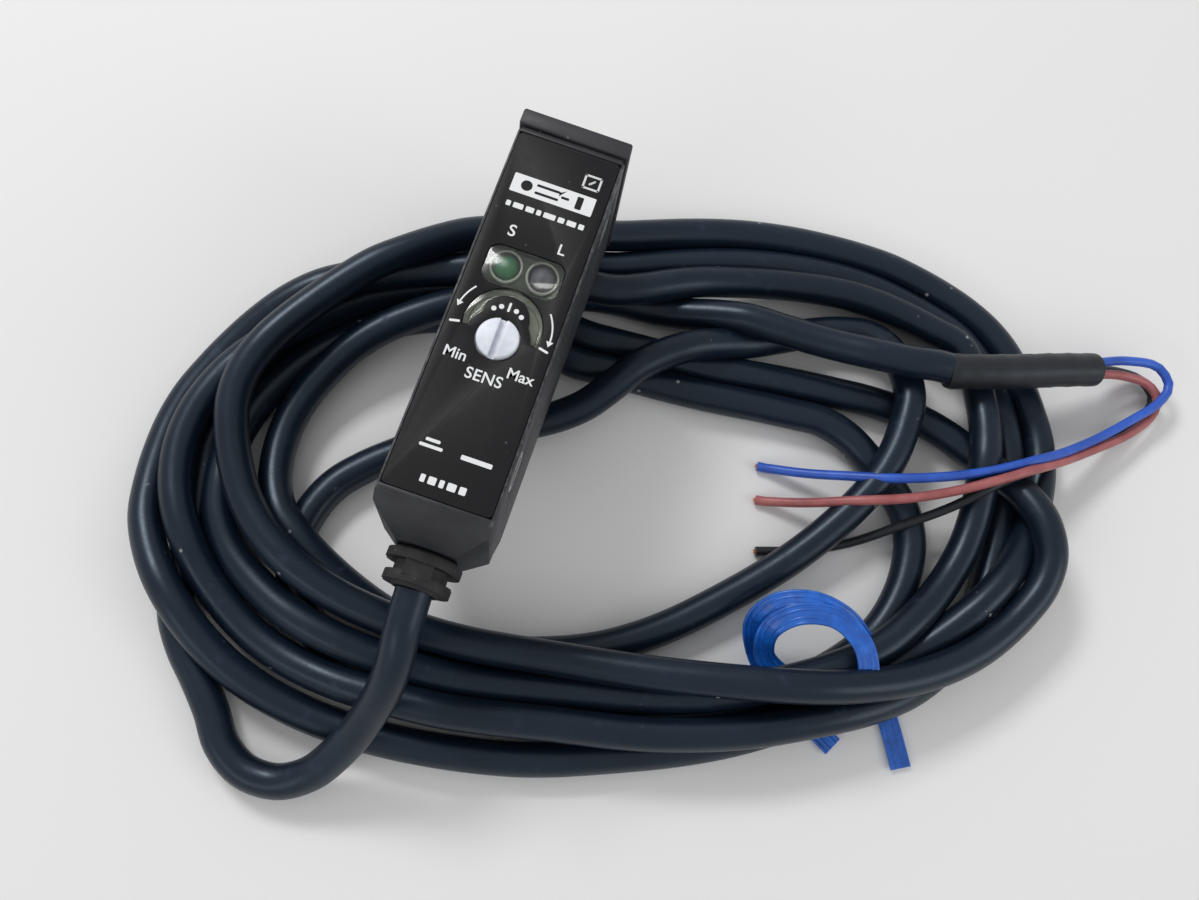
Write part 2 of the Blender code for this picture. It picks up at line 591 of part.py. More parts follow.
def trimmer(finish):
    half = TRIMMER_SIDE / 2
    low = PANEL_BOARD_TOP_Z + TOUCH_GAP
    top = low + TRIMMER_HEIGHT
    shape = block((-half, half), (DIAL_Y - half, DIAL_Y + half), (low, top))
    upright = [e for e in shape.edges if abs(e.verts[0].co.z - e.verts[1].co.z) > TRIMMER_HEIGHT / 2]
    bmesh.ops.bevel(shape, geom=upright, offset=0.6 * MM, segments=2, affect="EDGES", profile=0.5)
    obj = piece("trimmer_body", shape, finish)
    bore = WHEEL_SHAFT_RADIUS + TOUCH_GAP
    return cut(obj, rod(bore, WHEEL_BACK_Z - WHEEL_SHAFT_LENGTH - FIT_GAP, top + WALL, (0.0, DIAL_Y)))


def indicator_led(name, finish, x):
    """A round-headed LED: a flange on the board, a barrel and a dome under the window."""
    base = PANEL_BOARD_TOP_Z + TOUCH_GAP
    shoulder = base + LED_HEIGHT - LED_RADIUS
    dome = [
        (LED_RADIUS * math.cos(a), shoulder + LED_RADIUS * math.sin(a))
        for a in (math.radians(15.0 * i) for i in range(6))
    ]
    flange = [(0.0, base), (LED_RADIUS + LED_FLANGE, base), (LED_RADIUS + LED_FLANGE, base + 0.8 * MM)]
    flange += [(LED_RADIUS, base + 0.8 * MM)]
    profile = flange + dome + [(0.0, shoulder + LED_RADIUS)]
    return piece(name, turned(profile, (x, LED_Y), steps=28), finish)


def board(name, finish, span, low):
    return piece(name, block((-BOARD_HALF_WIDTH, BOARD_HALF_WIDTH), span, (low, low + BOARD_THICKNESS)), finish)


def chip(name, finish, centre, size, height, base=MAIN_BOARD_TOP_Z):
    """A small component that sits just above a board."""
    low = base + TOUCH_GAP
    x = (centre[0] - size[0] / 2, centre[0] + size[0] / 2)
    y = (centre[1] - size[1] / 2, centre[1] + size[1] / 2)
    return piece(name, block(x, y, (low, low + height)), finish)


def optics_holder(finish):
    """A block with one stepped light bore for each lens."""
    top = MAIN_BOARD_Z - TOUCH_GAP
    half = INNER_HALF_WIDTH - FIT_GAP
    low = LENS_Z + LENS_EDGE + TOUCH_GAP
    obj = piece("optics_holder", block((-half, half), HOLDER_SPAN, (low, top)), finish)
    for y in (EMITTER_Y, RECEIVER_Y):
        wide = LENS_RADIUS - LENS_SEAT
        narrow = DETECTOR_RADIUS + FIT_GAP
        step = top - DETECTOR_HEIGHT
        cone = [
            (0.0, low - WALL), (wide, low - WALL), (wide, low + LENS_CROWN), (narrow, step),
            (narrow, top + WALL), (0.0, top + WALL),
        ]
        cut(obj, turned(cone, (0.0, y), steps=32))
    return obj


def light_pieces(finishes):
    """The emitter and receiver, their lenses and their polarising filters."""
    for name, y in (("emitter", EMITTER_Y), ("receiver", RECEIVER_Y)):
        top = MAIN_BOARD_Z - TOUCH_GAP - 0.02 * MM
        shoulder = top - DETECTOR_HEIGHT + DETECTOR_RADIUS
        dome = [
            (DETECTOR_RADIUS * math.cos(a), shoulder - DETECTOR_RADIUS * math.sin(a))
            for a in (math.radians(18.0 * i) for i in range(5))
        ]
        body = [(0.0, top), (DETECTOR_RADIUS, top)] + dome + [(0.0, shoulder - DETECTOR_RADIUS)]
        kind = "emitter_led" if name == "emitter" else "receiver_photodiode"
        piece(kind, turned(body, (0.0, y), steps=24), finishes[kind])
        rise = [
            (LENS_RADIUS * math.cos(a), LENS_Z + LENS_EDGE + LENS_CROWN * math.sin(a))
            for a in (math.radians(90.0 * i / 6) for i in range(1, 6))
        ]
        rise = [(r * (LENS_RADIUS - LENS_RIM) / LENS_RADIUS, h) for r, h in rise]
        lens = [(0.0, LENS_Z), (LENS_RADIUS, LENS_Z), (LENS_RADIUS, LENS_Z + LENS_EDGE)]
        lens += [(LENS_RADIUS - LENS_RIM, LENS_Z + LENS_EDGE)] + rise
        lens += [(0.0, LENS_Z + LENS_EDGE + LENS_CROWN)]
        piece(f"{name}_lens", turned(lens, (0.0, y), steps=36), finishes["lens"])
        thin = rod(LENS_RADIUS, FILTER_Z, FILTER_Z + FILTER_THICKNESS, (0.0, y), steps=36)
        piece(f"{name}_filter", thin, finishes["filter"])


def front_cover(finish):
    shape = block((-COVER_HALF_WIDTH, COVER_HALF_WIDTH), COVER_SPAN, (FRONT_Z, COVER_BACK_Z))
    edges = [e for e in shape.edges if all(v.co.z < FRONT_Z + TOUCH_GAP for v in e.verts)]
    bmesh.ops.bevel(shape, geom=edges, offset=0.25 * MM, segments=2, affect="EDGES", profile=0.5)
    return piece("front_cover", shape, finish)


def front_gasket(finish):
    low = COVER_BACK_Z + TOUCH_GAP
    high = low + GASKET_THICKNESS
    half = COVER_HALF_WIDTH
    obj = piece("front_gasket", block((-half, half), COVER_SPAN, (low, high)), finish)
    rim = COVER_LEDGE - FIT_GAP
    hole = (COVER_SPAN[0] + rim, COVER_SPAN[1] - rim)
    return cut(obj, block((-half + rim, half - rim), hole, (low - WALL, high + WALL)))


def mounting_sleeve(name, finish, y):
    """A steel tube right through the case for an M3 screw."""
    end = HALF_WIDTH
    profile = [(SLEEVE_BORE, -end), (SLEEVE_RADIUS, -end), (SLEEVE_RADIUS, end), (SLEEVE_BORE, end)]
    return piece(name, turned(profile, (y, SLEEVE_Z), "X", steps=32), finish)


def strain_relief(finish):
    """A rubber bush through the case wall, with two ribs outside and a collar inside."""
    bore = CABLE_RADIUS + TOUCH_GAP
    inside = INSIDE_LOW_Y + TOUCH_GAP
    hole = NECK_RADIUS - WALL
    first = CABLE_END_Y - TOUCH_GAP - FIRST_RIB_GAP
    second = first - RIB_PITCH
    groove = NECK_RADIUS - RIB_GROOVE_DEPTH
    profile = [
        (bore, inside + WALL), (NECK_RADIUS, inside + WALL), (NECK_RADIUS, inside), (hole, inside),
        (hole, CABLE_END_Y - TOUCH_GAP), (NECK_RADIUS, CABLE_END_Y - TOUCH_GAP), (NECK_RADIUS, first),
        (FIRST_RIB_RADIUS, first), (FIRST_RIB_RADIUS, first - RIB_THICKNESS),
        (groove, first - RIB_THICKNESS), (groove, second),
        (SECOND_RIB_RADIUS, second), (SECOND_RIB_RADIUS, second - RIB_THICKNESS),
        (CABLE_RADIUS + RELIEF_NOSE_WALL, second - RIB_THICKNESS),
        (CABLE_RADIUS + RELIEF_TIP_WALL, RELIEF_END_Y), (bore, RELIEF_END_Y),
    ]
    return piece("strain_relief", turned(profile, axis="Y", steps=36), finish)


def cable_jacket_end(finish):
    shape = rod(CABLE_RADIUS, RELIEF_END_Y, JACKET_END_Y, axis="Y", steps=28)
    return piece("cable_jacket_end", shape, finish)


def cable_clamp(finish):
    """A crimped ring behind the bush that keeps the cable from being pulled out."""
    low = INSIDE_LOW_Y + WALL + 2 * TOUCH_GAP
    bore = CABLE_RADIUS + CLAMP_GRIP_GAP
    outside = CABLE_RADIUS + CLAMP_WALL
    profile = [(bore, low), (outside, low), (outside, low + CLAMP_LENGTH), (bore, low + CLAMP_LENGTH)]
    return piece("cable_clamp", turned(profile, axis="Y", steps=28), finish)


def smooth_points(route, count, scale=MM):
    """Points along a smooth curve through a route's own points, spread evenly along it."""
    knots = [Vector(p) * scale for p in route]
    padded = [2 * knots[0] - knots[1], *knots, 2 * knots[-1] - knots[-2]]
    fine = []
    for a, b, c, d in zip(padded, padded[1:], padded[2:], padded[3:]):
        for step in range(16):
            t = step / 16
            fine.append(
                0.5 * (2 * b + (c - a) * t + (2 * a - 5 * b + 4 * c - d) * t**2
                       + (3 * b - a - 3 * c + d) * t**3)
            )
    fine.append(knots[-1])
    runs = [0.0]
    for first, second in zip(fine, fine[1:]):
        runs.append(runs[-1] + (second - first).length)
    points = []
    place = 0
    for i in range(count):
        target = runs[-1] * i / (count - 1)
        while place < len(runs) - 2 and runs[place + 1] < target:
            place += 1
        share = (target - runs[place]) / (runs[place + 1] - runs[place])
        points.append(fine[place].lerp(fine[place + 1], share))
    return points


def tube(name, route, radius, finish, count, resolution=2):
    """A round cord along a route, as a curve with filled caps."""
    data = bpy.data.curves.new(name, "CURVE")
    data.dimensions = "3D"
    data.bevel_depth = radius
    data.bevel_resolution = resolution
    data.use_fill_caps = True
    spline = data.splines.new("POLY")
    spline.points.add(count - 1)
    for target, point in zip(spline.points, smooth_points(route, count)):
        target.co = (*point, 1.0)
    data.materials.append(finish)
    obj = bpy.data.objects.new(name, data)
    bpy.context.scene.collection.objects.link(obj)
    obj.parent = root
    return obj


def wire_ends(finishes):
    """The three cores from the cable's end up to their pads on the main board."""
    start = (JACKET_END_Y + WIRE_END_GAP) / MM
    pad = MAIN_BOARD_SPAN[0] / MM
    rise = MAIN_BOARD_TOP_Z / MM + WIRE_RADIUS / MM + 0.2
    for name, x in (("brown", -1.35), ("blue", 0.0), ("black", 1.35)):
        route = [
            (x * 0.9, start, 0.0), (x, (start + pad) / 2 - 0.1, rise * 0.62), (x, pad + 0.4, rise),
            (x, pad + 2.2, rise),
        ]
        tube(f"{name}_wire_end", route, WIRE_RADIUS * 0.9, finishes[name], 10)


def oval(half_length, half_width, steps=64):
    """An oval about the coil's centre, turned the way the coil lies."""
    cos, sin = math.cos(COIL_TURN), math.sin(COIL_TURN)
    points = []
    for a, b in circle(1.0, steps=steps):
        x, y = a * half_length, b * half_width
        points.append((COIL_CENTRE[0] + x * cos - y * sin, COIL_CENTRE[1] + x * sin + y * cos))
    return points


def cable_coil(finish):
    """One solid of the outer shape of the whole coil."""
    top = FLOOR_Z + COIL_HEIGHT
    obj = piece("cable_coil", prism(oval(COIL_HALF_LENGTH, COIL_HALF_WIDTH), FLOOR_Z, top), finish)
    return cut(obj, prism(oval(HOLE_HALF_LENGTH, HOLE_HALF_WIDTH), FLOOR_Z - WALL, top + WALL))


def twist_tie(finish):
    """A ribbon over the front of the coil, its legs down each side."""
    angle = COIL_TURN + TIE_DIRECTION
    reach = []
    for half_length, half_width in ((HOLE_HALF_LENGTH, HOLE_HALF_WIDTH), (COIL_HALF_LENGTH, COIL_HALF_WIDTH)):
        along = math.cos(TIE_DIRECTION) / half_length
        across = math.sin(TIE_DIRECTION) / half_width
        reach.append(1 / math.hypot(along, across))
    slack = 1.6 * MM
    inner = (reach[0] - slack, reach[1] + slack)
    top = FLOOR_Z + COIL_HEIGHT + CORD_GAP
    outer = (inner[0] - TIE_THICKNESS, inner[1] + TIE_THICKNESS)
    half = TIE_WIDTH / 2
    shape = block(outer, (-half, half), (FLOOR_Z, top + TIE_THICKNESS))
    obj = piece("twist_tie", shape, finish)
    cut(obj, block(inner, (-TIE_WIDTH, TIE_WIDTH), (FLOOR_Z - WALL, top)))
    turn = Matrix.Translation((COIL_CENTRE[0], COIL_CENTRE[1], 0.0)) @ Matrix.Rotation(angle, 4, "Z")
    obj.matrix_local = turn
    obj.modifiers[0].object.matrix_local = turn
    return obj


def pivot_at(name, y):
    """An empty on a turning axis, which the turning pieces are parented to."""
    pivot = bpy.data.objects.new(name, None)
    bpy.context.scene.collection.objects.link(pivot)
    pivot.location = (0.0, y, 0.0)
    pivot.parent = root
    return pivot


def build():
    global root
    clear_scene()
    root = bpy.data.objects.new("sensor", None)
    bpy.context.scene.collection.objects.link(root)

    case_plastic = material("case_plastic", (0.028, 0.028, 0.032), 0.5)
    cap_plastic = material("cap_plastic", (0.05, 0.05, 0.055), 0.45)
    label_film = material("label_film", (0.022, 0.022, 0.024), 0.42)
    rubber = material("rubber", (0.02, 0.02, 0.022), 0.7)
    clear = material("clear_plastic", (0.8, 0.84, 0.8), 0.08, transmission=0.9)
    knob_white = material("knob_white", (0.74, 0.76, 0.8), 0.4)
    wheel_grey = material("wheel_grey", (0.2, 0.21, 0.17), 0.5)
    nylon = material("nylon", (0.7, 0.68, 0.6), 0.5)
    housing = material("housing_plastic", (0.06, 0.06, 0.065), 0.5)
    board_green = material("board_green", (0.02, 0.16, 0.07), 0.4)
    chip_black = material("chip_black", (0.015, 0.015, 0.016), 0.4)
    steel = material("steel", (0.6, 0.6, 0.6), 0.3, 1.0)
    brass = material("brass", (0.7, 0.52, 0.25), 0.3, 1.0)
    filter_film = material("filter_film", (0.06, 0.05, 0.07), 0.15)
    red_clear = material("red_clear", (0.45, 0.02, 0.02), 0.1, transmission=0.6)
    green_clear = material("green_clear", (0.12, 0.36, 0.2), 0.12, transmission=0.6)
    grey_clear = material("grey_clear", (0.3, 0.28, 0.34), 0.12, transmission=0.6)
    jacket = material("cable_jacket", (0.016, 0.021, 0.03), 0.35)
    sleeve_black = material("sleeve_black", (0.02, 0.02, 0.023), 0.35)
    blue = material("wire_blue", (0.03, 0.1, 0.6), 0.4)
    brown = material("wire_brown", (0.48, 0.14, 0.13), 0.4)
    black = material("wire_black", (0.015, 0.015, 0.017), 0.4)
    tie_blue = material("tie_blue", (0.01, 0.08, 0.6), 0.45)

    main_case(case_plastic)
    end_cap(cap_plastic)
    cap_seal(rubber)
    label_panel(label_film)
    indicator_window(clear)
    dial_window(clear)
    knob_axis = pivot_at("knob_axis", KNOB_Y)
    wheel_axis = pivot_at("wheel_axis", DIAL_Y)
    sensitivity_knob(knob_white, knob_axis)
    adjuster_pinion(nylon, knob_axis)
    indicator_wheel(wheel_grey, wheel_axis)
    dial_housing(housing)
    shaft_seal(rubber)
    trimmer(housing)
    indicator_led("stability_led", green_clear, -LED_SPACING / 2)
    indicator_led("light_led", grey_clear, LED_SPACING / 2)
    board("panel_board", board_green, PANEL_BOARD_SPAN, PANEL_BOARD_Z)
    board("main_board", board_green, MAIN_BOARD_SPAN, MAIN_BOARD_Z)
    room = PANEL_BOARD_Z - MAIN_BOARD_TOP_Z - 2 * TOUCH_GAP
    chip("board_connector", housing, (0.0, 8.4 * MM), (6.4 * MM, 2.0 * MM), room)
    chip("signal_chip", chip_black, (-1.0 * MM, 1.0 * MM), (4.2 * MM, 4.2 * MM), 1.0 * MM)
    chip("output_transistor", chip_black, (2.4 * MM, -9.6 * MM), (2.9 * MM, 1.7 * MM), 1.1 * MM)
    chip("supply_capacitor", brass, (-2.4 * MM, -9.8 * MM), (3.2 * MM, 1.8 * MM), 1.4 * MM)
    chip("receiver_shield", steel, (0.0, -5.2 * MM), (7.4 * MM, 4.0 * MM), 1.5 * MM)
    optics_holder(housing)
    light_pieces({
        "emitter_led": red_clear, "receiver_photodiode": chip_black, "lens": clear, "filter": filter_film,
    })
    front_cover(clear)
    front_gasket(rubber)
    for name, y in zip(("lower_mounting_sleeve", "upper_mounting_sleeve"), SLEEVE_PLACES):
        mounting_sleeve(name, steel, y)
    strain_relief(rubber)
    cable_jacket_end(jacket)
    cable_clamp(brass)
    wire_ends({"brown": brown, "blue": blue, "black": black})
    tube("cable_lead", LEAD_ROUTE, CABLE_RADIUS, jacket, 16)
    cable_coil(jacket)
    tube("cable_tail", TAIL_ROUTE, CABLE_RADIUS, jacket, 8)
    tube("cable_sleeve", SLEEVE_ROUTE, SLEEVED_END_RADIUS, sleeve_black, 8)
    tube("blue_wire", BLUE_ROUTE, WIRE_RADIUS, blue, 34)
    tube("brown_wire", BROWN_ROUTE, WIRE_RADIUS, brown, 32)
    tube("black_wire", BLACK_ROUTE, WIRE_RADIUS, black, 38)
    twist_tie(tie_blue)


build()
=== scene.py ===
"""Looks for the photoelectric sensor: its cable, wires and tie, its printed panel and its materials."""

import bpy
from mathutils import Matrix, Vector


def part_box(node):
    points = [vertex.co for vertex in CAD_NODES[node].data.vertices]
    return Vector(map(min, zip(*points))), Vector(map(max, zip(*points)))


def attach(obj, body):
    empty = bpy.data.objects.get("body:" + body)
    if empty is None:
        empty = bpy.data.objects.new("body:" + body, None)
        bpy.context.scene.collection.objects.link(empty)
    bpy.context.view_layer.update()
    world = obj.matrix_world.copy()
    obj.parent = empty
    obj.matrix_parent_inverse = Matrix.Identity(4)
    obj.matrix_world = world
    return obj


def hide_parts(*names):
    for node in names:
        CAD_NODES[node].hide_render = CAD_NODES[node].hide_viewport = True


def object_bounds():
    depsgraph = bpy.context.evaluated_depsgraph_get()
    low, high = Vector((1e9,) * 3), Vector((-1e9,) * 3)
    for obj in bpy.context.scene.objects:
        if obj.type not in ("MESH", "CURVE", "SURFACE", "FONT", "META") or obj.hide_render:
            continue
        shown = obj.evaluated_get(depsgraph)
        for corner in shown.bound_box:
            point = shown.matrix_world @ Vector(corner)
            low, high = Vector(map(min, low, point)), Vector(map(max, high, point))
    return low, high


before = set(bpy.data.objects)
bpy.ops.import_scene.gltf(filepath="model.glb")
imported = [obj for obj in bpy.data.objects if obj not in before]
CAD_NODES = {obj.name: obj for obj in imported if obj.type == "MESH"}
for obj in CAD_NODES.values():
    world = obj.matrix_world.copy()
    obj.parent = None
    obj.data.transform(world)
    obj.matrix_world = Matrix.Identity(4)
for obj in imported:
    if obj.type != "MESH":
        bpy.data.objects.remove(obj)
cad_box = [[float(value) for value in corner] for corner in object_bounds()]

import math

import bmesh
import bpy
import numpy as np
from mathutils import Matrix, Vector

MM = 0.001
SENSOR = "sensor"

# Camera
CAMERA_PLACE = (13.43 * MM, -43.2 * MM, 118.0 * MM)
CAMERA_TURN = (math.radians(16.29), math.radians(-5.43), math.radians(18.15))
CAMERA_LENS = 34.36

# Cable
CABLE_RADIUS = 2.0 * MM
WIRE_RADIUS = 0.6 * MM
SLEEVE_RADIUS = 2.25 * MM
# How many of the cable's last points lie in the sleeve or just before it
SLEEVED_POINTS = 40
LAYER = 3.3 * MM
COIL_CENTRE = (13.5 * MM, -2.0 * MM)
COIL_TURN = math.radians(18.0)
FLOOR_Z = cad_box[0][2]
# Room that the settling cable keeps under the sensor, and its first sinking step
SENSOR_HALF_WIDTH = 6.2 * MM
SENSOR_HALF_LENGTH = 25.0 * MM
SENSOR_BACK_Z = -10.7 * MM
SENSOR_GAP = 0.15 * MM
SINK_STEP = 0.1 * MM

# The lead, in millimetres, from the strain relief down to the surface
LEAD_ROUTE = (
    (0.0, -27.5, 0.0), (0.1, -30.2, -0.2), (0.4, -33.4, -1.7), (0.2, -37.0, -4.9), (-0.9, -40.6, -8.9),
    (-3.0, -45.0, -13.2), (-5.9, -48.6, -16.2), (-9.8, -50.4, -17.4), (-13.8, -49.8, -17.6),
    (-17.6, -46.8, -17.6),
)
# Each turn of the coil, clockwise: direction in degrees, distance from the centre in millimetres, layer
COIL_ROUTE = (
    (
        (215, 53.6, 0), (202, 52.6, 0), (189, 47.6, 0), (176, 45.2, 0), (160, 41.0, 0), (143, 36.5, 0),
        (123, 31.2, 0.3), (104, 27.4, 0.8), (88, 25.8, 1), (70, 28.6, 1), (53, 34.0, 1), (38, 41.1, 1),
        (27, 46.5, 1), (19, 50.4, 1), (4, 52.6, 0.5), (-16, 51.0, 0), (-35, 46.2, 0), (-58, 38.4, 0),
        (-78, 34.4, 0.4), (-98, 33.0, 0.9), (-125, 37.0, 1), (-150, 45.6, 1),
    ),
    (
        (191, 49.6, 1), (179, 49.0, 1), (164, 43.4, 1), (148, 36.6, 1), (130, 28.6, 1), (114, 20.8, 1),
        (97, 16.1, 1), (72, 15.0, 1), (41, 18.5, 1), (20, 28.9, 1), (11, 38.6, 1), (5, 44.8, 1),
        (-4, 51.6, 1), (-10, 54.6, 2), (-16, 55.3, 2), (-26, 51.6, 2.5), (-36, 45.8, 3), (-49, 37.5, 3),
        (-73, 28.9, 3), (-101, 26.1, 3), (-131, 30.1, 3), (-152, 36.6, 3),
    ),
    (
        (191, 41.7, 3), (175, 43.6, 3), (166, 42.0, 2.6), (146, 35.7, 2), (134, 32.7, 2), (120, 31.1, 2),
        (86, 28.7, 2), (59, 35.1, 2), (42, 42.4, 2), (32, 48.2, 2), (18, 55.1, 2), (9, 56.3, 1.5),
        (2, 56.5, 1), (-6, 54.6, 0.6), (-20, 50.0, 0), (-38, 43.2, 0), (-58, 37.6, 0), (-77, 35.4, 0),
        (-105, 37.6, 0.2), (-135, 45.4, 0.9), (-151, 50.9, 1.1),
    ),
    (
        (195, 53.4, 1), (188, 53.6, 1), (174, 50.4, 1), (158, 42.0, 1.25), (140, 33.2, 1.25),
        (118, 24.6, 1),
        (87, 20.0, 1.5), (58, 26.9, 2), (43, 34.4, 2), (33, 40.6, 2), (22, 46.7, 2), (17, 49.4, 1.5),
        (2, 48.6, 1), (-15, 46.0, 1), (-35, 40.8, 1), (-65, 32.4, 1.4), (-99, 29.5, 2), (-125, 33.4, 2),
        (-150, 41.2, 2),
    ),
    (
        (193, 45.9, 2), (177, 43.8, 2), (160, 37.0, 1.4), (142, 28.6, 0.7), (120, 18.8, 0),
        (106, 13.4, 0),
        (80, 11.4, 0), (43, 13.7, 0), (16, 24.1, 0), (9, 30.2, 0), (0, 34.5, 0), (-12, 39.6, 0),
        (-30, 40.6, 0), (-55, 36.4, 0), (-87, 32.0, 0), (-120, 35.2, 0), (-143, 39.6, 0), (-158, 38.8, 0),
        (-170, 33.6, 0),
    ),
    (
        (179, 22.6, 0), (166, 12.6, 0), (150, 8.1, 0), (120, 6.2, 0), (95, 6.8, 0.4), (62, 13.2, 1),
        (35, 28.6, 1.2), (29.5, 35.2, 1.6), (25.5, 38.6, 2), (19, 40.2, 3), (12, 39.8, 3), (5, 37.8, 3),
        (-5, 34.4, 2.6), (-23, 28.0, 2), (-48, 23.3, 1), (-77, 22.8, 0.4), (-100, 24.6, 0.2),
        (-130, 30.0, 0.8),
    ),
    (
        (194, 38.4, 1), (176, 38.0, 0.4), (158, 33.4, 0.6), (132, 25.0, 1), (105, 21.2, 1), (88, 20.9, 1),
        (63, 21.3, 1.4), (34, 27.5, 1.8), (18, 37.8, 2), (14, 43.9, 2),
    ),
)
TAIL_ROUTE = ((50.9, 21.0, -11.2), (58.0, 23.6, -11.4), (65.0, 26.8, -12.4), (69.6, 29.0, -13.6))
SLEEVE_ROUTE = (*TAIL_ROUTE, (69.9, 29.15, -13.7))
BLUE_ROUTE = (
    (69.8, 30.0, -13.3), (74.6, 32.6, -15.0), (79.2, 33.7, -16.2), (81.2, 31.8, -16.4),
    (80.3, 29.0, -16.6), (77.4, 25.6, -16.4), (72.0, 20.0, -14.8), (65.8, 14.7, -12.6),
    (57.4, 9.4, -11.8), (49.0, 6.0, -12.0), (41.6, 4.7, -16.4), (37.4, 4.2, -18.4), (32.8, 3.8, -19.0),
)
BROWN_ROUTE = (
    (70.0, 28.6, -13.8), (74.8, 30.9, -16.0), (78.9, 31.5, -17.6), (80.6, 30.2, -17.8),
    (80.4, 27.8, -17.8), (77.8, 24.0, -17.2), (72.0, 18.6, -14.9), (66.4, 13.9, -13.0),
    (58.2, 8.0, -12.2), (49.9, 3.6, -12.0), (42.5, 1.2, -16.4), (38.0, 0.2, -18.4), (33.8, -0.5, -19.0),
)
BLACK_ROUTE = (
    (69.5, 29.4, -14.6), (74.4, 31.9, -17.2), (78.6, 32.6, -18.9), (80.7, 31.0, -19.0),
    (80.3, 28.4, -19.0), (77.6, 24.8, -18.6), (72.0, 19.3, -16.2), (66.0, 13.9, -14.2),
    (60.6, 9.2, -13.8), (56.4, 5.2, -13.8), (51.6, 1.6, -15.6), (46.7, -1.8, -18.6),
    (41.0, -4.8, -19.0), (35.6, -6.8, -19.0),
)
TIE_ROUTE = (
    (59.4, -26.2, -19.1), (57.4, -22.6, -19.2), (55.2, -19.0, -19.2), (53.0, -16.4, -17.4),
    (50.0, -14.4, -13.4), (46.4, -12.9, -10.8), (42.2, -12.6, -10.0), (38.6, -13.8, -11.2),
    (37.0, -16.2, -13.8), (38.4, -18.8, -16.4), (41.6, -21.4, -18.4), (46.4, -24.0, -19.2),
    (50.9, -26.4, -19.1),
)
TIE_LOOP_ROUTE = (
    (50.6, -20.8, -12.0), (50.6, -18.4, -10.8), (48.8, -15.4, -9.9), (45.2, -13.6, -9.8),
    (40.8, -14.6, -10.2), (38.6, -17.0, -12.2), (39.4, -19.6, -14.6), (43.0, -20.9, -16.4),
    (46.6, -21.2, -17.0),
)
# The black wire lies on the turns up to its dive, then passes under the hook strand at its crossing
BLACK_DIVES_AT = 53.0 * MM
BLACK_CROSSING = (44.4 * MM, -3.2 * MM)
PROP_HEIGHT = 2.1 * WIRE_RADIUS
PROP_REACH = 7.0 * MM


def polar_point(direction, distance, layer):
    """A place on the coil, from its direction and distance in the coil's own turned axes."""
    angle = math.radians(direction) + COIL_TURN
    x = COIL_CENTRE[0] + distance * MM * math.cos(angle)
    y = COIL_CENTRE[1] + distance * MM * math.sin(angle)
    return x, y, FLOOR_Z + CABLE_RADIUS + layer * LAYER


def smooth_points(knots, spacing):
    """Evenly spaced points along a smooth curve that passes through every knot."""
    knots = [np.array(knot, float) for knot in knots]
    padded = [2 * knots[0] - knots[1], *knots, 2 * knots[-1] - knots[-2]]
    fine = []
    for a, b, c, d in zip(padded, padded[1:], padded[2:], padded[3:]):
        first = np.linalg.norm(b - a) ** 0.5
        second = first + np.linalg.norm(c - b) ** 0.5
        third = second + np.linalg.norm(d - c) ** 0.5
        for t in np.linspace(first, second, 16, endpoint=False):
            ab = a + (b - a) * t / first
            bc = b + (c - b) * (t - first) / (second - first)
            cd = c + (d - c) * (t - second) / (third - second)
            near = ab + (bc - ab) * t / second
            far = bc + (cd - bc) * (t - first) / (third - first)
            fine.append(near + (far - near) * (t - first) / (second - first))
    fine = np.array([*fine, knots[-1]])
    run = np.concatenate(([0.0], np.cumsum(np.linalg.norm(np.diff(fine, axis=0), axis=1))))
    places = np.linspace(0.0, run[-1], round(run[-1] / spacing) + 1)
    return np.stack([np.interp(places, run, fine[:, axis]) for axis in range(3)], axis=1)


def averaged(values):
    """Each value eased towards those beside it, the ends kept."""
    eased = values.copy()
    eased[2:-2] = (values[:-4] + values[4:] + 2 * (values[1:-3] + values[3:-1])) / 6
    return eased


def settle(points, held_start, held_end, steps=150):
    """Lets the cable sink until it rests on the surface and on its own turns."""
    home = points.copy()
    order = np.arange(len(points))
    beside = np.abs(np.subtract.outer(order, order)) < 8
    free = order > held_start
    beside_sensor = SENSOR_HALF_WIDTH + CABLE_RADIUS
    under_sensor = SENSOR_BACK_Z - CABLE_RADIUS - SENSOR_GAP
    for step in range(steps):
        apart = points[:, None, :] - points[None, :, :]
        distance = np.sqrt((apart**2).sum(-1))
        first, second = np.nonzero((distance < 2 * CABLE_RADIUS) & ~beside)
        push = np.zeros_like(points)
        touching = np.zeros(len(points))
        span = distance[first, second][:, None] + 1e-9
        np.add.at(push, first, apart[first, second] / span * (2 * CABLE_RADIUS - span) / 2)
        np.add.at(touching, first, 1)
        points += push / np.maximum(touching, 1)[:, None]
        points[:, 2] -= SINK_STEP * (1 - step / steps)
        points[:, 2] += 0.4 * (averaged(points[:, 2]) - points[:, 2])
        drift = 0.94 * (points[:, :2] - home[:, :2])
        points[:, :2] = home[:, :2] + (drift + averaged(drift)) / 2
        away = np.hypot(points[:, 0] - BLACK_CROSSING[0], points[:, 1] - BLACK_CROSSING[1])
        prop = PROP_HEIGHT * np.clip(1.6 - away / PROP_REACH, 0, 1)
        points[:, 2] = np.maximum(points[:, 2], FLOOR_Z + CABLE_RADIUS + prop)
        x, y = np.abs(points[:, 0]), np.abs(points[:, 1])
        below = free & (x < beside_sensor) & (y < SENSOR_HALF_LENGTH)
        points[below, 2] = np.minimum(points[below, 2], under_sensor)
        points[:held_start] = home[:held_start]
        points[-held_end:] = home[-held_end:]
    return points


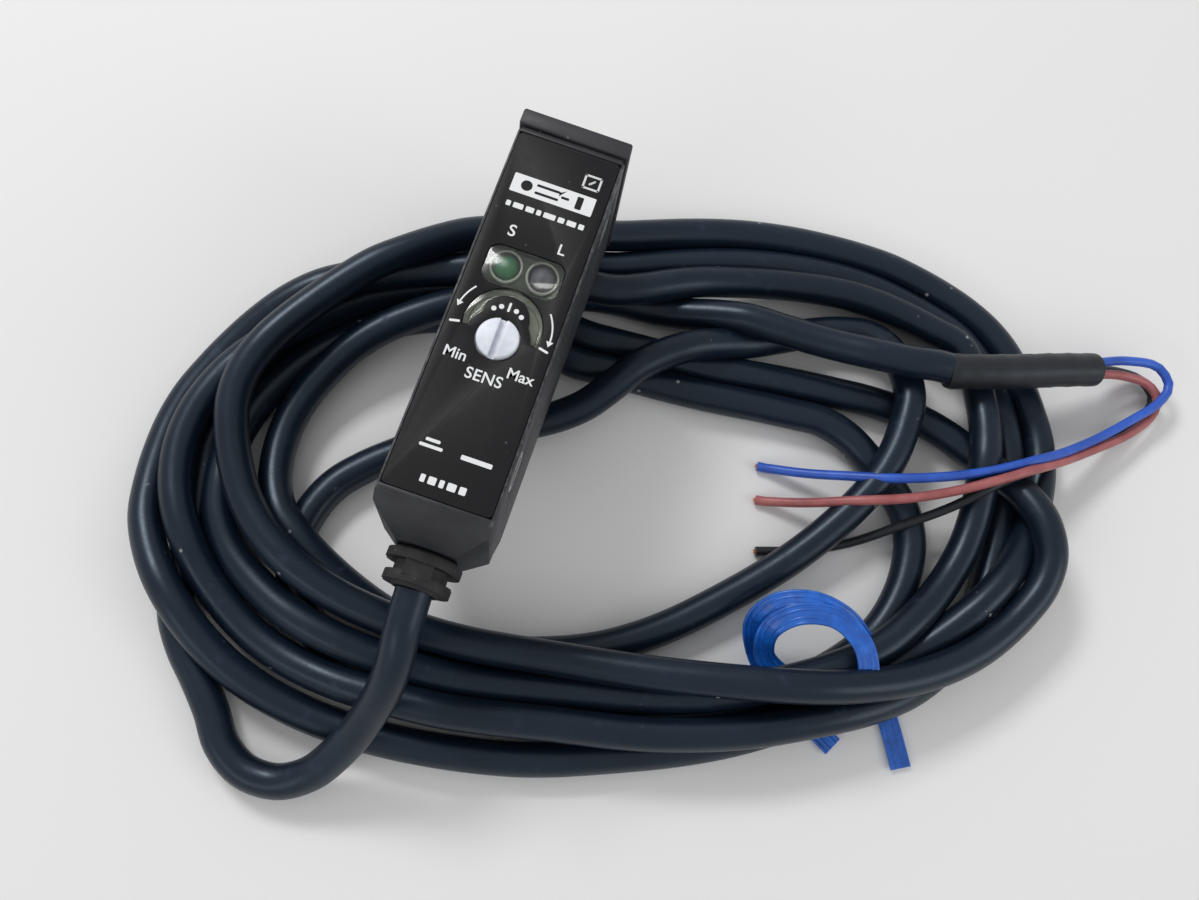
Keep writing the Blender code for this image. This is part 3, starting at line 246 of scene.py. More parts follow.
def cable_points():
    """The cable from the strain relief to the sleeve, settled."""
    knots = [Vector(point) * MM for point in LEAD_ROUTE]
    for turn in COIL_ROUTE:
        knots += [polar_point(*place) for place in turn]
    knots += [Vector(point) * MM for point in TAIL_ROUTE]
    settled = settle(smooth_points(knots, CABLE_RADIUS), 21, 16)
    return smooth_points(settled[::2], 0.8 * MM)


def laid_over(points, cord, reach):
    """Raises a thin wire's points so that they lie on a cord below where they cross it."""
    flat = np.hypot(*(points[:, None, :2] - cord[None, :, :2]).transpose(2, 0, 1))
    top = cord[None, :, 2] + np.sqrt(np.maximum(reach**2 - flat**2, 0))
    top = np.where(flat < reach, top, -1.0).max(axis=1)
    height = np.maximum(points[:, 2], top)
    for _ in range(4):
        height = np.maximum(averaged(height), top)
    return np.column_stack([points[:, :2], height])


def curve_piece(name, points, radius, finish, sides=6):
    """A round cord as one open curve."""
    data = bpy.data.curves.new(name, "CURVE")
    data.dimensions = "3D"
    data.bevel_depth = radius
    data.bevel_resolution = sides
    data.use_fill_caps = True
    spline = data.splines.new("POLY")
    spline.points.add(len(points) - 1)
    spline.points.foreach_set("co", np.column_stack([points, np.ones(len(points))]).ravel())
    spline.use_smooth = True
    data.materials.append(finish)
    obj = bpy.data.objects.new(name, data)
    bpy.context.scene.collection.objects.link(obj)
    return obj


class Flow:
    """A socket of a material's node tree, used in sums like a number."""

    def __init__(self, tree, socket):
        self.tree = tree
        self.socket = socket

    def node(self, kind, settings=None, inputs=None, output=0):
        """Any node: its type, its settings, its sockets' values or links, and the output to use."""
        made = self.tree.nodes.new(kind)
        for name, value in (settings or {}).items():
            setattr(made, name, value)
        for name, value in (inputs or {}).items():
            feed(self.tree, made.inputs[name], value)
        return Flow(self.tree, made.outputs[output])

    def maths(self, operation, *values):
        return self.node("ShaderNodeMath", {"operation": operation}, dict(enumerate(values)))

    def __add__(self, other):
        return self.maths("ADD", self, other)

    def __sub__(self, other):
        return self.maths("SUBTRACT", self, other)

    def __rsub__(self, other):
        return self.maths("SUBTRACT", other, self)

    def __mul__(self, other):
        return self.maths("MULTIPLY", self, other)

    def __truediv__(self, other):
        return self.maths("DIVIDE", self, other)

    __radd__ = __add__
    __rmul__ = __mul__

    def size(self):
        return self.maths("ABSOLUTE", self)

    def step(self, low, high):
        """0 below low, 1 above high and smooth between."""
        settings = {"interpolation_type": "SMOOTHSTEP"}
        inputs = {"Value": self, "From Min": low, "From Max": high}
        return self.node("ShaderNodeMapRange", settings, inputs)

    def mix(self, first, second):
        """A colour that goes from the first to the second as this goes from 0 to 1."""
        return self.node("ShaderNodeMix", {"data_type": "RGBA"}, {0: self, 6: first, 7: second}, 2)


def feed(tree, socket, value):
    if isinstance(value, Flow):
        tree.links.new(value.socket, socket)
    elif isinstance(value, tuple) and len(value) == 3 and len(socket.default_value) == 4:
        socket.default_value = (*value, 1.0)
    else:
        socket.default_value = value


class Finish:
    """One material: object coordinates in millimetres in, a Principled shader out."""

    def __init__(self, name, **constants):
        self.material = bpy.data.materials.new(name)
        self.material.use_nodes = True
        self.tree = self.material.node_tree
        self.shader = self.tree.nodes["Principled BSDF"]
        sockets = {socket.name.lower().replace(" ", "_"): socket for socket in self.shader.inputs}
        for key, value in constants.items():
            feed(self.tree, sockets[key], value)
        start = Flow(self.tree, None).node("ShaderNodeTexCoord", output="Object")
        inputs = {"Vector": start, "Scale": 1 / MM}
        self.place = start.node("ShaderNodeVectorMath", {"operation": "SCALE"}, inputs)
        self.x, self.y, self.z = (
            start.node("ShaderNodeSeparateXYZ", None, {"Vector": self.place}, axis) for axis in range(3)
        )

    def noise(self, grain, detail=2.0, stretch=None):
        """Noise whose blotches are about this many millimetres across."""
        place = self.place
        if stretch:
            place = place.node("ShaderNodeVectorMath", {"operation": "MULTIPLY"}, {0: place, 1: stretch})
        inputs = {"Vector": place, "Scale": 1 / grain, "Detail": detail, "Roughness": 0.55}
        return place.node("ShaderNodeTexNoise", None, inputs)

    def specks(self, grain, share):
        """Scattered small spots, 1 in a spot and 0 elsewhere."""
        cells = self.place.node("ShaderNodeTexVoronoi", None, {"Vector": self.place, "Scale": 1 / grain})
        patch = self.noise(grain * 2.3, 1.0)
        return (1 - cells.step(0.1, 0.2)) * patch.step(1 - share, 1 - share + 0.05)

    def colour(self, flow):
        feed(self.tree, self.shader.inputs["Base Color"], flow)
        return self

    def rough(self, flow):
        feed(self.tree, self.shader.inputs["Roughness"], flow)
        return self

    def bump(self, height, depth):
        """Surface relief: the height runs from 0 to 1 and depth is in millimetres."""
        inputs = {"Height": height, "Distance": depth * MM, "Strength": 1.0}
        feed(self.tree, self.shader.inputs["Normal"], height.node("ShaderNodeBump", None, inputs))
        return self


def moulded(name, colour, roughness, texture=0.012, wear_and_highlight=None, **constants):
    """Moulded plastic with a fine spark texture, faint blotches and dust."""
    made = Finish(name, **constants)
    blotch = made.noise(5.0, 3.0)
    dust = made.specks(0.9, 0.36)
    dark = tuple(0.75 * part for part in colour)
    light = tuple(1.3 * part + 0.004 for part in colour)
    shade = blotch.step(0.3, 0.7).mix(dark, light)
    # Rubbed edges are real wear; the lighter flanks from the same mask are a painted highlight
    if wear_and_highlight:
        shade = wear_and_highlight(made).mix(shade, (0.24, 0.25, 0.27))
    made.colour((dust * 0.55).mix(shade, (0.2, 0.21, 0.22)))
    made.rough(made.noise(1.4, 3.0) * 0.22 + (roughness - 0.1) + dust * 0.2)
    return made.bump(made.noise(0.14, 2.0) + made.noise(0.5, 1.0) * 0.5, texture).material


def edge_wear_and_highlight(half_width, top, low, high):
    """Rubbed long edges beside the panel, and speckles on the flanks painted lighter as a painted
    highlight.
    """
    def wear_and_highlight(made):
        side = made.x.size().step(half_width - 0.5, half_width - 0.1)
        height = made.z.step(top - 1.3, top - 0.2)
        along = made.y.step(low, low + 2.0) * (1 - made.y.step(high - 1.0, high))
        patchy = made.noise(0.5, 5.0, (1.0, 0.6, 1.0)).step(0.44, 0.66)
        # The flanks are painted lighter in speckles: a painted highlight, not wear
        lit_flank = made.x.size().step(half_width - 0.12, half_width - 0.02)
        speckle = made.noise(0.34, 4.0).step(0.5, 0.68)
        return side * height * along * patchy * 0.34 + lit_flank * speckle * 0.2
    return wear_and_highlight


def label_finish():
    """Satin printed film: nearly flat black with a fine orange peel, faint rubs and lint."""
    made = Finish("label_film_finish", specular_ior_level=0.22)
    rub = made.noise(3.5, 4.0, (1.0, 0.35, 1.0)).step(0.5, 0.75)
    dust = made.specks(0.7, 0.34)
    shade = rub.mix((0.009, 0.009, 0.0105), (0.014, 0.014, 0.016))
    made.colour((dust * 0.5).mix(shade, (0.16, 0.16, 0.17)))
    made.rough(made.noise(0.8, 3.0) * 0.15 + 0.4 + rub * 0.06)
    return made.bump(made.noise(0.3, 2.0), 0.006).material


def ink_finish():
    made = Finish("white_ink_finish")
    thin = made.noise(0.22, 3.0).step(0.62, 0.8)
    made.colour((thin * 0.45).mix((0.78, 0.79, 0.8), (0.12, 0.12, 0.13)))
    made.rough(made.noise(0.4, 2.0) * 0.2 + 0.42)
    return made.bump(made.noise(0.1, 1.0), 0.004).material


def rubber_finish(name, colour, roughness=0.62):
    made = Finish(name)
    chalk = made.noise(1.6, 4.0).step(0.5, 0.8)
    dust = made.specks(0.8, 0.4)
    shade = (chalk * 0.6).mix(colour, tuple(2.2 * part + 0.01 for part in colour))
    made.colour((dust * 0.5).mix(shade, (0.22, 0.22, 0.23)))
    made.rough(made.noise(0.9, 2.0) * 0.2 + (roughness - 0.1))
    return made.bump(made.noise(0.2, 3.0) + made.noise(1.2, 1.0), 0.014).material


def jacket_finish(name, colour, sheen, roughness):
    """Extruded cable jacket: a soft sheen, faint scuffs, specks of dust and a slightly uneven surface."""
    made = Finish(name, specular_ior_level=0.45, specular_tint=(0.72, 0.86, 1.0))
    cloud = made.noise(16.0, 2.0).step(0.3, 0.7)
    scuff = made.noise(2.2, 5.0, (1.0, 1.0, 0.4)).step(0.6, 0.78)
    nick = made.specks(1.5, 0.33)
    shade = cloud.mix(colour, sheen)
    shade = (scuff * 0.35).mix(shade, tuple(3.0 * part + 0.01 for part in sheen))
    made.colour((nick * 0.7).mix(shade, (0.34, 0.35, 0.36)))
    made.rough(cloud * 0.05 + scuff * 0.16 + made.noise(0.6, 2.0) * 0.1 + (roughness - 0.05))
    return made.bump(made.noise(3.4, 1.0) * 1.0 + made.noise(0.35, 2.0) * 0.16, 0.05).material


def wire_finish(name, colour, deep):
    made = Finish(name, subsurface_weight=0.08, subsurface_scale=0.0004)
    cloud = made.noise(4.0, 3.0).step(0.3, 0.72)
    grime = made.noise(1.3, 4.0).step(0.58, 0.8)
    made.colour((grime * 0.35).mix(cloud.mix(deep, colour), tuple(0.35 * part for part in deep)))
    made.rough(made.noise(0.7, 2.0) * 0.18 + 0.32)
    return made.bump(made.noise(0.9, 2.0), 0.02).material


def tie_finish():
    """Glossy ribbon with fine lengthwise lines."""
    made = Finish("tie_finish", coat_weight=0.3, coat_roughness=0.2)
    streak = made.noise(1.8, 3.0).step(0.3, 0.75)
    made.colour(streak.mix((0.004, 0.085, 0.42), (0.01, 0.15, 0.66)))
    made.rough(made.noise(0.4, 2.0) * 0.2 + 0.26)
    return made.bump(made.noise(0.35, 3.0), 0.05).material


def clear_finish(name, colour, roughness=0.06, haze=0.0):
    made = Finish(name, transmission_weight=1.0 - haze, ior=1.49, specular_ior_level=0.3)
    film = made.noise(1.5, 4.0).step(0.45, 0.8)
    made.colour((film * 0.2).mix(colour, tuple(0.7 * part for part in colour)))
    made.rough(film * 0.12 + made.noise(0.4, 3.0) * 0.06 + roughness)
    return made.bump(made.noise(2.2, 1.0), 0.005).material


def led_finish(name, colour, deep):
    """Tinted epoxy, milky in the head, with painted shade darkening it towards the base down in the lamp
    well.
    """
    made = Finish(name, transmission_weight=0.2, ior=1.5, specular_ior_level=0.25)
    # Lighter head and darker base: painted shade where the LED sits down in the well
    head = made.z.step(8.4, 9.3)
    cloud = made.noise(0.5, 3.0)
    made.colour(head.mix(deep, cloud.step(0.3, 0.7).mix(colour, tuple(1.25 * part for part in colour))))
    made.rough(made.noise(0.4, 2.0) * 0.12 + 0.26)
    return made.bump(made.noise(0.8, 1.0), 0.01).material


def metal_finish(name, colour, roughness, grain=(1.0, 1.0, 1.0)):
    made = Finish(name, metallic=1.0)
    lines = made.noise(0.12, 3.0, grain)
    tarnish = made.noise(1.8, 4.0).step(0.5, 0.8)
    made.colour((tarnish * 0.5).mix(colour, tuple(0.5 * part for part in colour)))
    made.rough(lines * 0.2 + tarnish * 0.15 + (roughness - 0.1))
    return made.bump(lines, 0.006).material


def wheel_finish(centre_y, radius):
    """Grey-green moulded wheel with a turned line near its rim."""
    made = Finish("indicator_wheel_finish")
    across = made.y - centre_y / MM
    out = made.x.maths("SQRT", made.x * made.x + across * across)
    rim = radius / MM - 0.42
    line = (out - rim).size()
    shaded_groove = 1 - line.step(0.03, 0.09)
    cloud = made.noise(1.1, 4.0).step(0.3, 0.75)
    shade = cloud.mix((0.27, 0.275, 0.235), (0.4, 0.4, 0.35))
    # The turned line is painted dark: painted shade in the groove; the same mask also dents the bump
    made.colour((shaded_groove * 0.75).mix(shade, (0.05, 0.05, 0.045)))
    made.rough(made.noise(0.6, 2.0) * 0.2 + 0.34)
    return made.bump(made.noise(0.16, 2.0) * 0.3 - shaded_groove, 0.02).material


def board_finish():
    """Green solder mask over faint copper tracks."""
    made = Finish("board_finish", coat_weight=0.4, coat_roughness=0.2)
    settings = {"wave_type": "BANDS", "bands_direction": "X"}
    inputs = {"Vector": made.place, "Scale": 0.9, "Distortion": 3.0, "Detail": 1.0}
    tracks = made.place.node("ShaderNodeTexWave", settings, inputs, 1).step(0.62, 0.72)
    made.colour(tracks.mix((0.008, 0.085, 0.035), (0.03, 0.2, 0.07)))
    made.rough(made.noise(0.6, 2.0) * 0.15 + 0.3)
    return made.bump(tracks, 0.03).material


def dress(node, finish):
    """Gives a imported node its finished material."""
    obj = CAD_NODES[node]
    obj.data.materials.clear()
    obj.data.materials.append(finish)


def as_object(name, mesh, finish):
    """A mesh as an object with one finish."""
    mesh.materials.clear()
    mesh.materials.append(finish)
    obj = bpy.data.objects.new(name, mesh)
    bpy.context.scene.collection.objects.link(obj)
    return obj


def evaluated(obj, name, finish):
    """The object as its modifiers leave it, as a plain mesh piece at the origin."""
    bpy.context.view_layer.update()
    mesh = bpy.data.meshes.new_from_object(obj.evaluated_get(bpy.context.evaluated_depsgraph_get()))
    mesh.transform(obj.matrix_world)
    bpy.data.objects.remove(obj)
    made = as_object(name, mesh, finish)
    mesh.shade_smooth()
    mesh.set_sharp_from_angle(angle=math.radians(38))
    return made


def softened(node, name, finish, width, body=SENSOR):
    """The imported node's own shape with its edges rounded the way moulded edges are."""
    shape = bmesh.new()
    shape.from_mesh(CAD_NODES[node].data)
    bmesh.ops.remove_doubles(shape, verts=shape.verts, dist=0.002 * MM)
    flat = math.radians(0.6)
    bmesh.ops.dissolve_limit(shape, angle_limit=flat, verts=shape.verts, edges=shape.edges)
    mesh = bpy.data.meshes.new(name)
    shape.to_mesh(mesh)
    shape.free()
    obj = as_object(f"{name}_source", mesh, finish)
    modifier = obj.modifiers.new("rounding", "BEVEL")
    modifier.width = width
    modifier.segments = 2
    modifier.limit_method = "ANGLE"
    modifier.angle_limit = math.radians(32)
    modifier.harden_normals = False
    piece = evaluated(obj, name, finish)
    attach(piece, body)
    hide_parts(node)


def outline_mesh(name, points, low, high):
    """A flat outline with a little thickness."""
    shape = bmesh.new()
    rings = [[shape.verts.new((x, y, z)) for x, y in points] for z in (low, high)]
    count = len(points)
    for i in range(count):
        j = (i + 1) % count
        shape.faces.new((rings[0][i], rings[0][j], rings[1][j], rings[1][i]))
    shape.faces.new(rings[0][::-1])
    shape.faces.new(rings[1])
    bmesh.ops.recalc_face_normals(shape, faces=shape.faces)
    mesh = bpy.data.meshes.new(name)
    shape.to_mesh(mesh)
    shape.free()
    return mesh


def joined(name, meshes, finish):
    """Several meshes as one piece."""
    shape = bmesh.new()
    for mesh in meshes:
        shape.from_mesh(mesh)
    result = bpy.data.meshes.new(name)
    shape.to_mesh(result)
    shape.free()
    return as_object(name, result, finish)


def bar(x, y, width, height, turn=0.0, corner=0.12):
    """A printed bar with round corners, as points in metres."""
    points = []
    for quarter, (sx, sy) in enumerate(((1, 1), (-1, 1), (-1, -1), (1, -1))):
        for i in range(4):
            angle = (quarter + i / 3) * math.pi / 2
            px = sx * (width / 2 - corner) + corner * math.cos(angle)
            py = sy * (height / 2 - corner) + corner * math.sin(angle)
            cos, sin = math.cos(turn), math.sin(turn)
            points.append(((x + px * cos - py * sin) * MM, (y + px * sin + py * cos) * MM))
    return points


def arc_band(centre, radius, first, last, width, steps=14):
    """A printed arc, angles in degrees and counted the mathematical way."""
    angles = [math.radians(first + (last - first) * i / steps) for i in range(steps + 1)]
    outer = [(radius + width / 2, angle) for angle in angles]
    inner = [(radius - width / 2, angle) for angle in reversed(angles)]
    return [
        ((centre[0] + r * math.cos(a)) * MM, (centre[1] + r * math.sin(a)) * MM) for r, a in outer + inner
    ]


def dot(x, y, radius, steps=14):
    """A printed round dot."""
    angles = [2 * math.pi * i / steps for i in range(steps)]
    return [((x + radius * math.cos(a)) * MM, (y + radius * math.sin(a)) * MM) for a in angles]


def word_mesh(text, place, height, spread=1.0):
    """A printed word as a thin mesh centred on its place."""
    data = bpy.data.curves.new(text, "FONT")
    data.body = text
    data.size = height * MM / 0.7
    data.align_x = "CENTER"
    data.align_y = "CENTER"
    data.space_character = spread
    data.extrude = 0.008 * MM
    data.offset = 0.02 * MM
    obj = bpy.data.objects.new(text, data)
    bpy.context.scene.collection.objects.link(obj)
    bpy.context.view_layer.update()
    mesh = bpy.data.meshes.new_from_object(obj.evaluated_get(bpy.context.evaluated_depsgraph_get()))
    mesh.transform(Matrix.Translation((place[0] * MM, place[1] * MM, PANEL_Z + 0.006 * MM)))
    bpy.data.objects.remove(obj)
    return mesh


PANEL_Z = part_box("label_panel")[1][2]
CASE_LOW, CASE_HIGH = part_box("main_case")
# Printed panel, in millimetres: the dial's centre and how far its marks stand from it
DIAL = (0.0, -0.9)
END_MARK_REACH = 4.85
ARROW_REACH = 5.05
SCALE_REACH = 2.12
INK = 0.014 * MM


def panel_print(ink, film):
    """The panel's white marks: generic words, dial marks and plain symbols."""
    low, high = PANEL_Z - 0.004 * MM, PANEL_Z + INK
    outlines = []
    for side in (-1, 1):
        angle = math.radians(90 - side * 103)
        x, y = DIAL[0] + END_MARK_REACH * math.cos(angle), DIAL[1] + END_MARK_REACH * math.sin(angle)
        outlines.append(bar(x, y, 1.1, 0.26, angle))
        first, last = (90 + 51, 90 + 77) if side < 0 else (90 - 55, 90 - 90)
        outlines.append(arc_band(DIAL, ARROW_REACH, first, last, 0.17))
        head = math.radians(last)
        way = 1 if side < 0 else -1
        tip = math.radians(last + way * 7)
        triangle = [(ARROW_REACH + 0.38, head), (ARROW_REACH - 0.38, head), (ARROW_REACH, tip)]
        outlines.append([
            ((DIAL[0] + r * math.cos(a)) * MM, (DIAL[1] + r * math.sin(a)) * MM) for r, a in triangle
        ])
    for degrees in (-44, -22, 22, 44):
        angle = math.radians(90 - degrees)
        x, y = DIAL[0] + SCALE_REACH * math.cos(angle), DIAL[1] + SCALE_REACH * math.sin(angle)
        outlines.append(dot(x, y, 0.27))
    outlines.append(bar(DIAL[0], DIAL[1] + 2.15, 0.26, 1.05))
    words = [
        word_mesh("Min", (-3.45, -5.3), 1.15), word_mesh("Max", (3.5, -5.5), 1.15),
        word_mesh("SENS", (0.1, -6.8), 1.2, 1.05), word_mesh("S", (-2.6, 9.4), 1.3),
        word_mesh("L", (2.9, 9.1), 1.2),
    ]
    outlines.append(bar(0.0, 14.9, 9.0, 2.2))
    x = -4.3
    for width in (0.5, 1.1, 0.9, 0.5, 1.3, 0.7, 1.0, 0.6):
        outlines.append(bar(x + width / 2, 12.35, width, 0.62, corner=0.1))
        x += width + 0.28
    outlines += [bar(-2.3, -15.2, 2.4, 0.34), bar(-2.3, -14.55, 1.5, 0.34), bar(2.4, -15.2, 3.2, 0.5)]
    x = -2.2
    for width in (0.5, 0.8, 0.5, 0.9, 0.7):
        outlines.append(bar(x + width / 2, -18.4, width, 0.8, corner=0.12))
        x += width + 0.32
    outlines += [
        bar(3.45, 18.4, 1.9, 0.22), bar(3.45, 16.9, 1.9, 0.22), bar(2.6, 17.65, 0.22, 1.7),
        bar(4.3, 17.65, 0.22, 1.7), bar(3.45, 17.65, 0.9, 0.2, math.radians(45)),
    ]
    meshes = [outline_mesh("mark", points, low, high) for points in outlines] + words
    marks = joined("panel_print", meshes, ink)
    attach(marks, SENSOR)
    over = PANEL_Z + INK + 0.002 * MM
    beam = [dot(-2.9, 14.9, 0.62, 24), bar(-0.6, 15.35, 2.6, 0.3), bar(-0.6, 14.45, 2.6, 0.3)]
    beam += [[(1.3 * MM, 15.8 * MM), (0.62 * MM, 15.35 * MM), (0.62 * MM, 14.9 * MM)][::-1]]
    beam += [bar(2.9, 14.9, 0.7, 1.5), bar(1.35, 14.9, 0.9, 0.3)]
    symbol = joined("panel_symbol", [outline_mesh("beam", p, over - 0.01 * MM, over) for p in beam], film)
    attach(symbol, SENSOR)


def turned_mesh(name, profile, centre, steps=48):
    """A closed surface of revolution about an axis along Z through the centre."""
    shape = bmesh.new()
    rings = []
    for radius, z in profile:
        if radius < 1e-7:
            rings.append([shape.verts.new((*centre, z))])
            continue
        turn = [2 * math.pi * i / steps for i in range(steps)]
        rings.append([
            shape.verts.new((centre[0] + radius * math.cos(a), centre[1] + radius * math.sin(a), z))
            for a in turn
        ])
    for first, second in zip(rings, rings[1:]):
        for i in range(steps):
            j = (i + 1) % steps
            near = [first[k % len(first)] for k in (i, j)]
            far = [second[k % len(second)] for k in (j, i)]
            corners = list(dict.fromkeys(near + far))
            if len(corners) > 2:
                shape.faces.new(corners)
    bmesh.ops.recalc_face_normals(shape, faces=shape.faces)
    mesh = bpy.data.meshes.new(name)
    shape.to_mesh(mesh)
    shape.free()
    mesh.shade_smooth()
    mesh.set_sharp_from_angle(angle=math.radians(38))
    return mesh


def led_piece(node, name, finish, rim_finish):
    """An LED with a round head, and a pale ring round it as a painted highlight."""
    low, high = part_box(node)
    centre = ((low[0] + high[0]) / 2, (low[1] + high[1]) / 2)
    radius = (high[0] - low[0]) / 2
    barrel = radius - 0.15 * MM
    shoulder = high[2] - barrel
    profile = [(0.0, low[2]), (radius, low[2]), (radius, low[2] + 0.8 * MM), (barrel, low[2] + 0.9 * MM)]
    steps = 12
    profile += [
        (barrel * math.cos(a), shoulder + barrel * math.sin(a))
        for a in (math.pi / 2 * i / steps for i in range(steps))
    ]
    profile.append((0.0, high[2]))
    body = as_object(name, turned_mesh(name, profile, centre), finish)
    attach(body, SENSOR)
    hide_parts(node)
    # The pale hazy ring is a painted highlight: it stands for the bright glint round each LED
    ring_radius = barrel + 0.12 * MM
    thick = 0.13 * MM
    height = high[2] - 0.42 * MM
    ring = [
        (ring_radius + thick * math.cos(a), height + thick * math.sin(a))
        for a in (2 * math.pi * i / 10 for i in range(11))
    ]
    rim = as_object(f"{name}_rim", turned_mesh(f"{name}_rim", ring, centre), rim_finish)
    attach(rim, SENSOR)


def lamp_well(finish):
    """The moulded tray round the two LEDs, seen through the window."""
    low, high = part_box("indicator_window")
    led_low, led_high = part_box("stability_led")
    other_low, other_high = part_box("light_led")
    inset = 0.1 * MM
    outline = [(low[0] + inset, low[1] + 0.35 * MM), (high[0] - inset, low[1] + 0.35 * MM)]
    outline += [(high[0] - inset, high[1] - inset), (low[0] + inset, high[1] - inset)]
    mesh = outline_mesh("lamp_well", outline, 8.45 * MM, 9.0 * MM)
    obj = as_object("lamp_well_source", mesh, finish)
    for a, b in ((led_low, led_high), (other_low, other_high)):
        centre = ((a[0] + b[0]) / 2, (a[1] + b[1]) / 2)
        radius = (b[0] - a[0]) / 2 - 0.08 * MM
        profile = [(0.0, 8.0 * MM), (radius, 8.0 * MM), (radius, 9.6 * MM), (0.0, 9.6 * MM)]
        cutter = as_object("well_cutter", turned_mesh("well_cutter", profile, centre), finish)
        modifier = obj.modifiers.new("hole", "BOOLEAN")
        modifier.object = cutter
        modifier.operation = "DIFFERENCE"
    bevel = obj.modifiers.new("rounding", "BEVEL")
    bevel.width = 0.1 * MM
    bevel.segments = 2
    cutters = [modifier.object for modifier in obj.modifiers if modifier.type == "BOOLEAN"]
    piece = evaluated(obj, "lamp_well", finish)
    for cutter in cutters:
        bpy.data.objects.remove(cutter)
    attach(piece, SENSOR)


POINTER_REACH = 3.6


def wheel_pointer(ink):
    """The white dot on the wheel that points along the scale."""
    low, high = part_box("indicator_wheel")
    angle = math.radians(90 + 102.86)
    x, y = DIAL[0] + POINTER_REACH * math.cos(angle), DIAL[1] + POINTER_REACH * math.sin(angle)
    mesh = outline_mesh("pointer_dot", dot(x, y, 0.24, 20), high[2] - 0.01 * MM, high[2] + 0.02 * MM)
    piece = as_object("pointer_dot", mesh, ink)
    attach(piece, "indicator")


def ribbon_tree():
    """Geometry nodes that sweep a flat ribbon with two raised edges along a curve."""
    tree = bpy.data.node_groups.new("ribbon", "GeometryNodeTree")
    tree.interface.new_socket("Geometry", in_out="INPUT", socket_type="NodeSocketGeometry")
    sockets = {
        name: tree.interface.new_socket(name, in_out="INPUT", socket_type=kind)
        for name, kind in (
            ("Width", "NodeSocketFloat"), ("Thickness", "NodeSocketFloat"), ("Edge", "NodeSocketFloat"),
            ("Material", "NodeSocketMaterial"),
        )
    }
    tree.interface.new_socket("Geometry", in_out="OUTPUT", socket_type="NodeSocketGeometry")
    nodes, links = tree.nodes, tree.links
    start, end = nodes.new("NodeGroupInput"), nodes.new("NodeGroupOutput")
    spread = nodes.new("GeometryNodeJoinGeometry")
    band = nodes.new("GeometryNodeCurvePrimitiveQuadrilateral")
    links.new(start.outputs["Width"], band.inputs["Width"])
    links.new(start.outputs["Thickness"], band.inputs["Height"])
    swept = nodes.new("GeometryNodeCurveToMesh")
    swept.inputs["Fill Caps"].default_value = True
    links.new(start.outputs["Geometry"], swept.inputs["Curve"])
    links.new(band.outputs["Curve"], swept.inputs["Profile Curve"])
    links.new(swept.outputs["Mesh"], spread.inputs[0])
    for side in (-0.46, -0.2, 0.2, 0.46):
        bead = nodes.new("GeometryNodeCurvePrimitiveCircle")
        bead.inputs["Resolution"].default_value = 10
        links.new(start.outputs["Edge"], bead.inputs["Radius"])
        shift = nodes.new("ShaderNodeMath")
        shift.operation = "MULTIPLY"
        shift.inputs[1].default_value = side
        links.new(start.outputs["Width"], shift.inputs[0])
        place = nodes.new("ShaderNodeCombineXYZ")
        links.new(shift.outputs[0], place.inputs["X"])
        moved = nodes.new("GeometryNodeTransform")
        links.new(bead.outputs["Curve"], moved.inputs["Geometry"])
        links.new(place.outputs[0], moved.inputs["Translation"])
        swept = nodes.new("GeometryNodeCurveToMesh")
        swept.inputs["Fill Caps"].default_value = True
        links.new(start.outputs["Geometry"], swept.inputs["Curve"])
        links.new(moved.outputs["Geometry"], swept.inputs["Profile Curve"])
        links.new(swept.outputs["Mesh"], spread.inputs[0])
    real = nodes.new("GeometryNodeRealizeInstances")
    paint = nodes.new("GeometryNodeSetMaterial")
    links.new(spread.outputs[0], real.inputs[0])
    links.new(real.outputs[0], paint.inputs["Geometry"])
    links.new(start.outputs["Material"], paint.inputs["Material"])
    links.new(paint.outputs[0], end.inputs[0])
    return tree, sockets


def tie_piece(name, route, finish):
    """One ribbon of the tie."""
    points = smooth_points([Vector(point) * MM for point in route], 0.8 * MM)
    source = curve_piece(f"{name}_source", points, 0.0, finish)
    source.data.twist_mode = "Z_UP"
    tree, sockets = ribbon_tree()
    modifier = source.modifiers.new("ribbon", "NODES")
    modifier.node_group = tree
    sizes = {"Width": 2.3 * MM, "Thickness": 0.24 * MM, "Edge": 0.22 * MM, "Material": finish}
    for size, value in sizes.items():
        modifier[sockets[size].identifier] = value
    piece = evaluated(source, name, finish)
    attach(piece, SENSOR)
    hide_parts("twist_tie")
    return piece


def bored_tube(name, points, radii, bore, finish, steps=28):
    """A tube along points with its own radius at each, closed at its start and bored at its end."""
    shape = bmesh.new()
    points = [Vector(point) for point in points]
    frames = []
    side = Vector((0.0, 0.0, 1.0))
    for i, point in enumerate(points):
        way = (points[min(i + 1, len(points) - 1)] - points[max(i - 1, 0)]).normalized()
        side = (side - way * side.dot(way)).normalized()
        frames.append((point, side.copy(), way.cross(side)))

    def ring(index, radius):
        point, u, v = frames[index]
        turn = [2 * math.pi * k / steps for k in range(steps)]
        return [shape.verts.new(point + (u * math.cos(a) + v * math.sin(a)) * radius) for a in turn]

    last = len(points) - 1
    rings = [ring(index, radius) for index, radius in enumerate(radii)]
    rings += [ring(last, bore), ring(last - 2, bore)]
    for first, second in zip(rings, rings[1:]):
        for k in range(steps):
            shape.faces.new((first[k], first[(k + 1) % steps], second[(k + 1) % steps], second[k]))
    shape.faces.new(rings[-1])
    shape.faces.new(rings[0])
    bmesh.ops.recalc_face_normals(shape, faces=shape.faces)
    mesh = bpy.data.meshes.new(name)
    shape.to_mesh(mesh)
    shape.free()
    mesh.shade_smooth()
    mesh.set_sharp_from_angle(angle=math.radians(40))
    return as_object(name, mesh, finish)


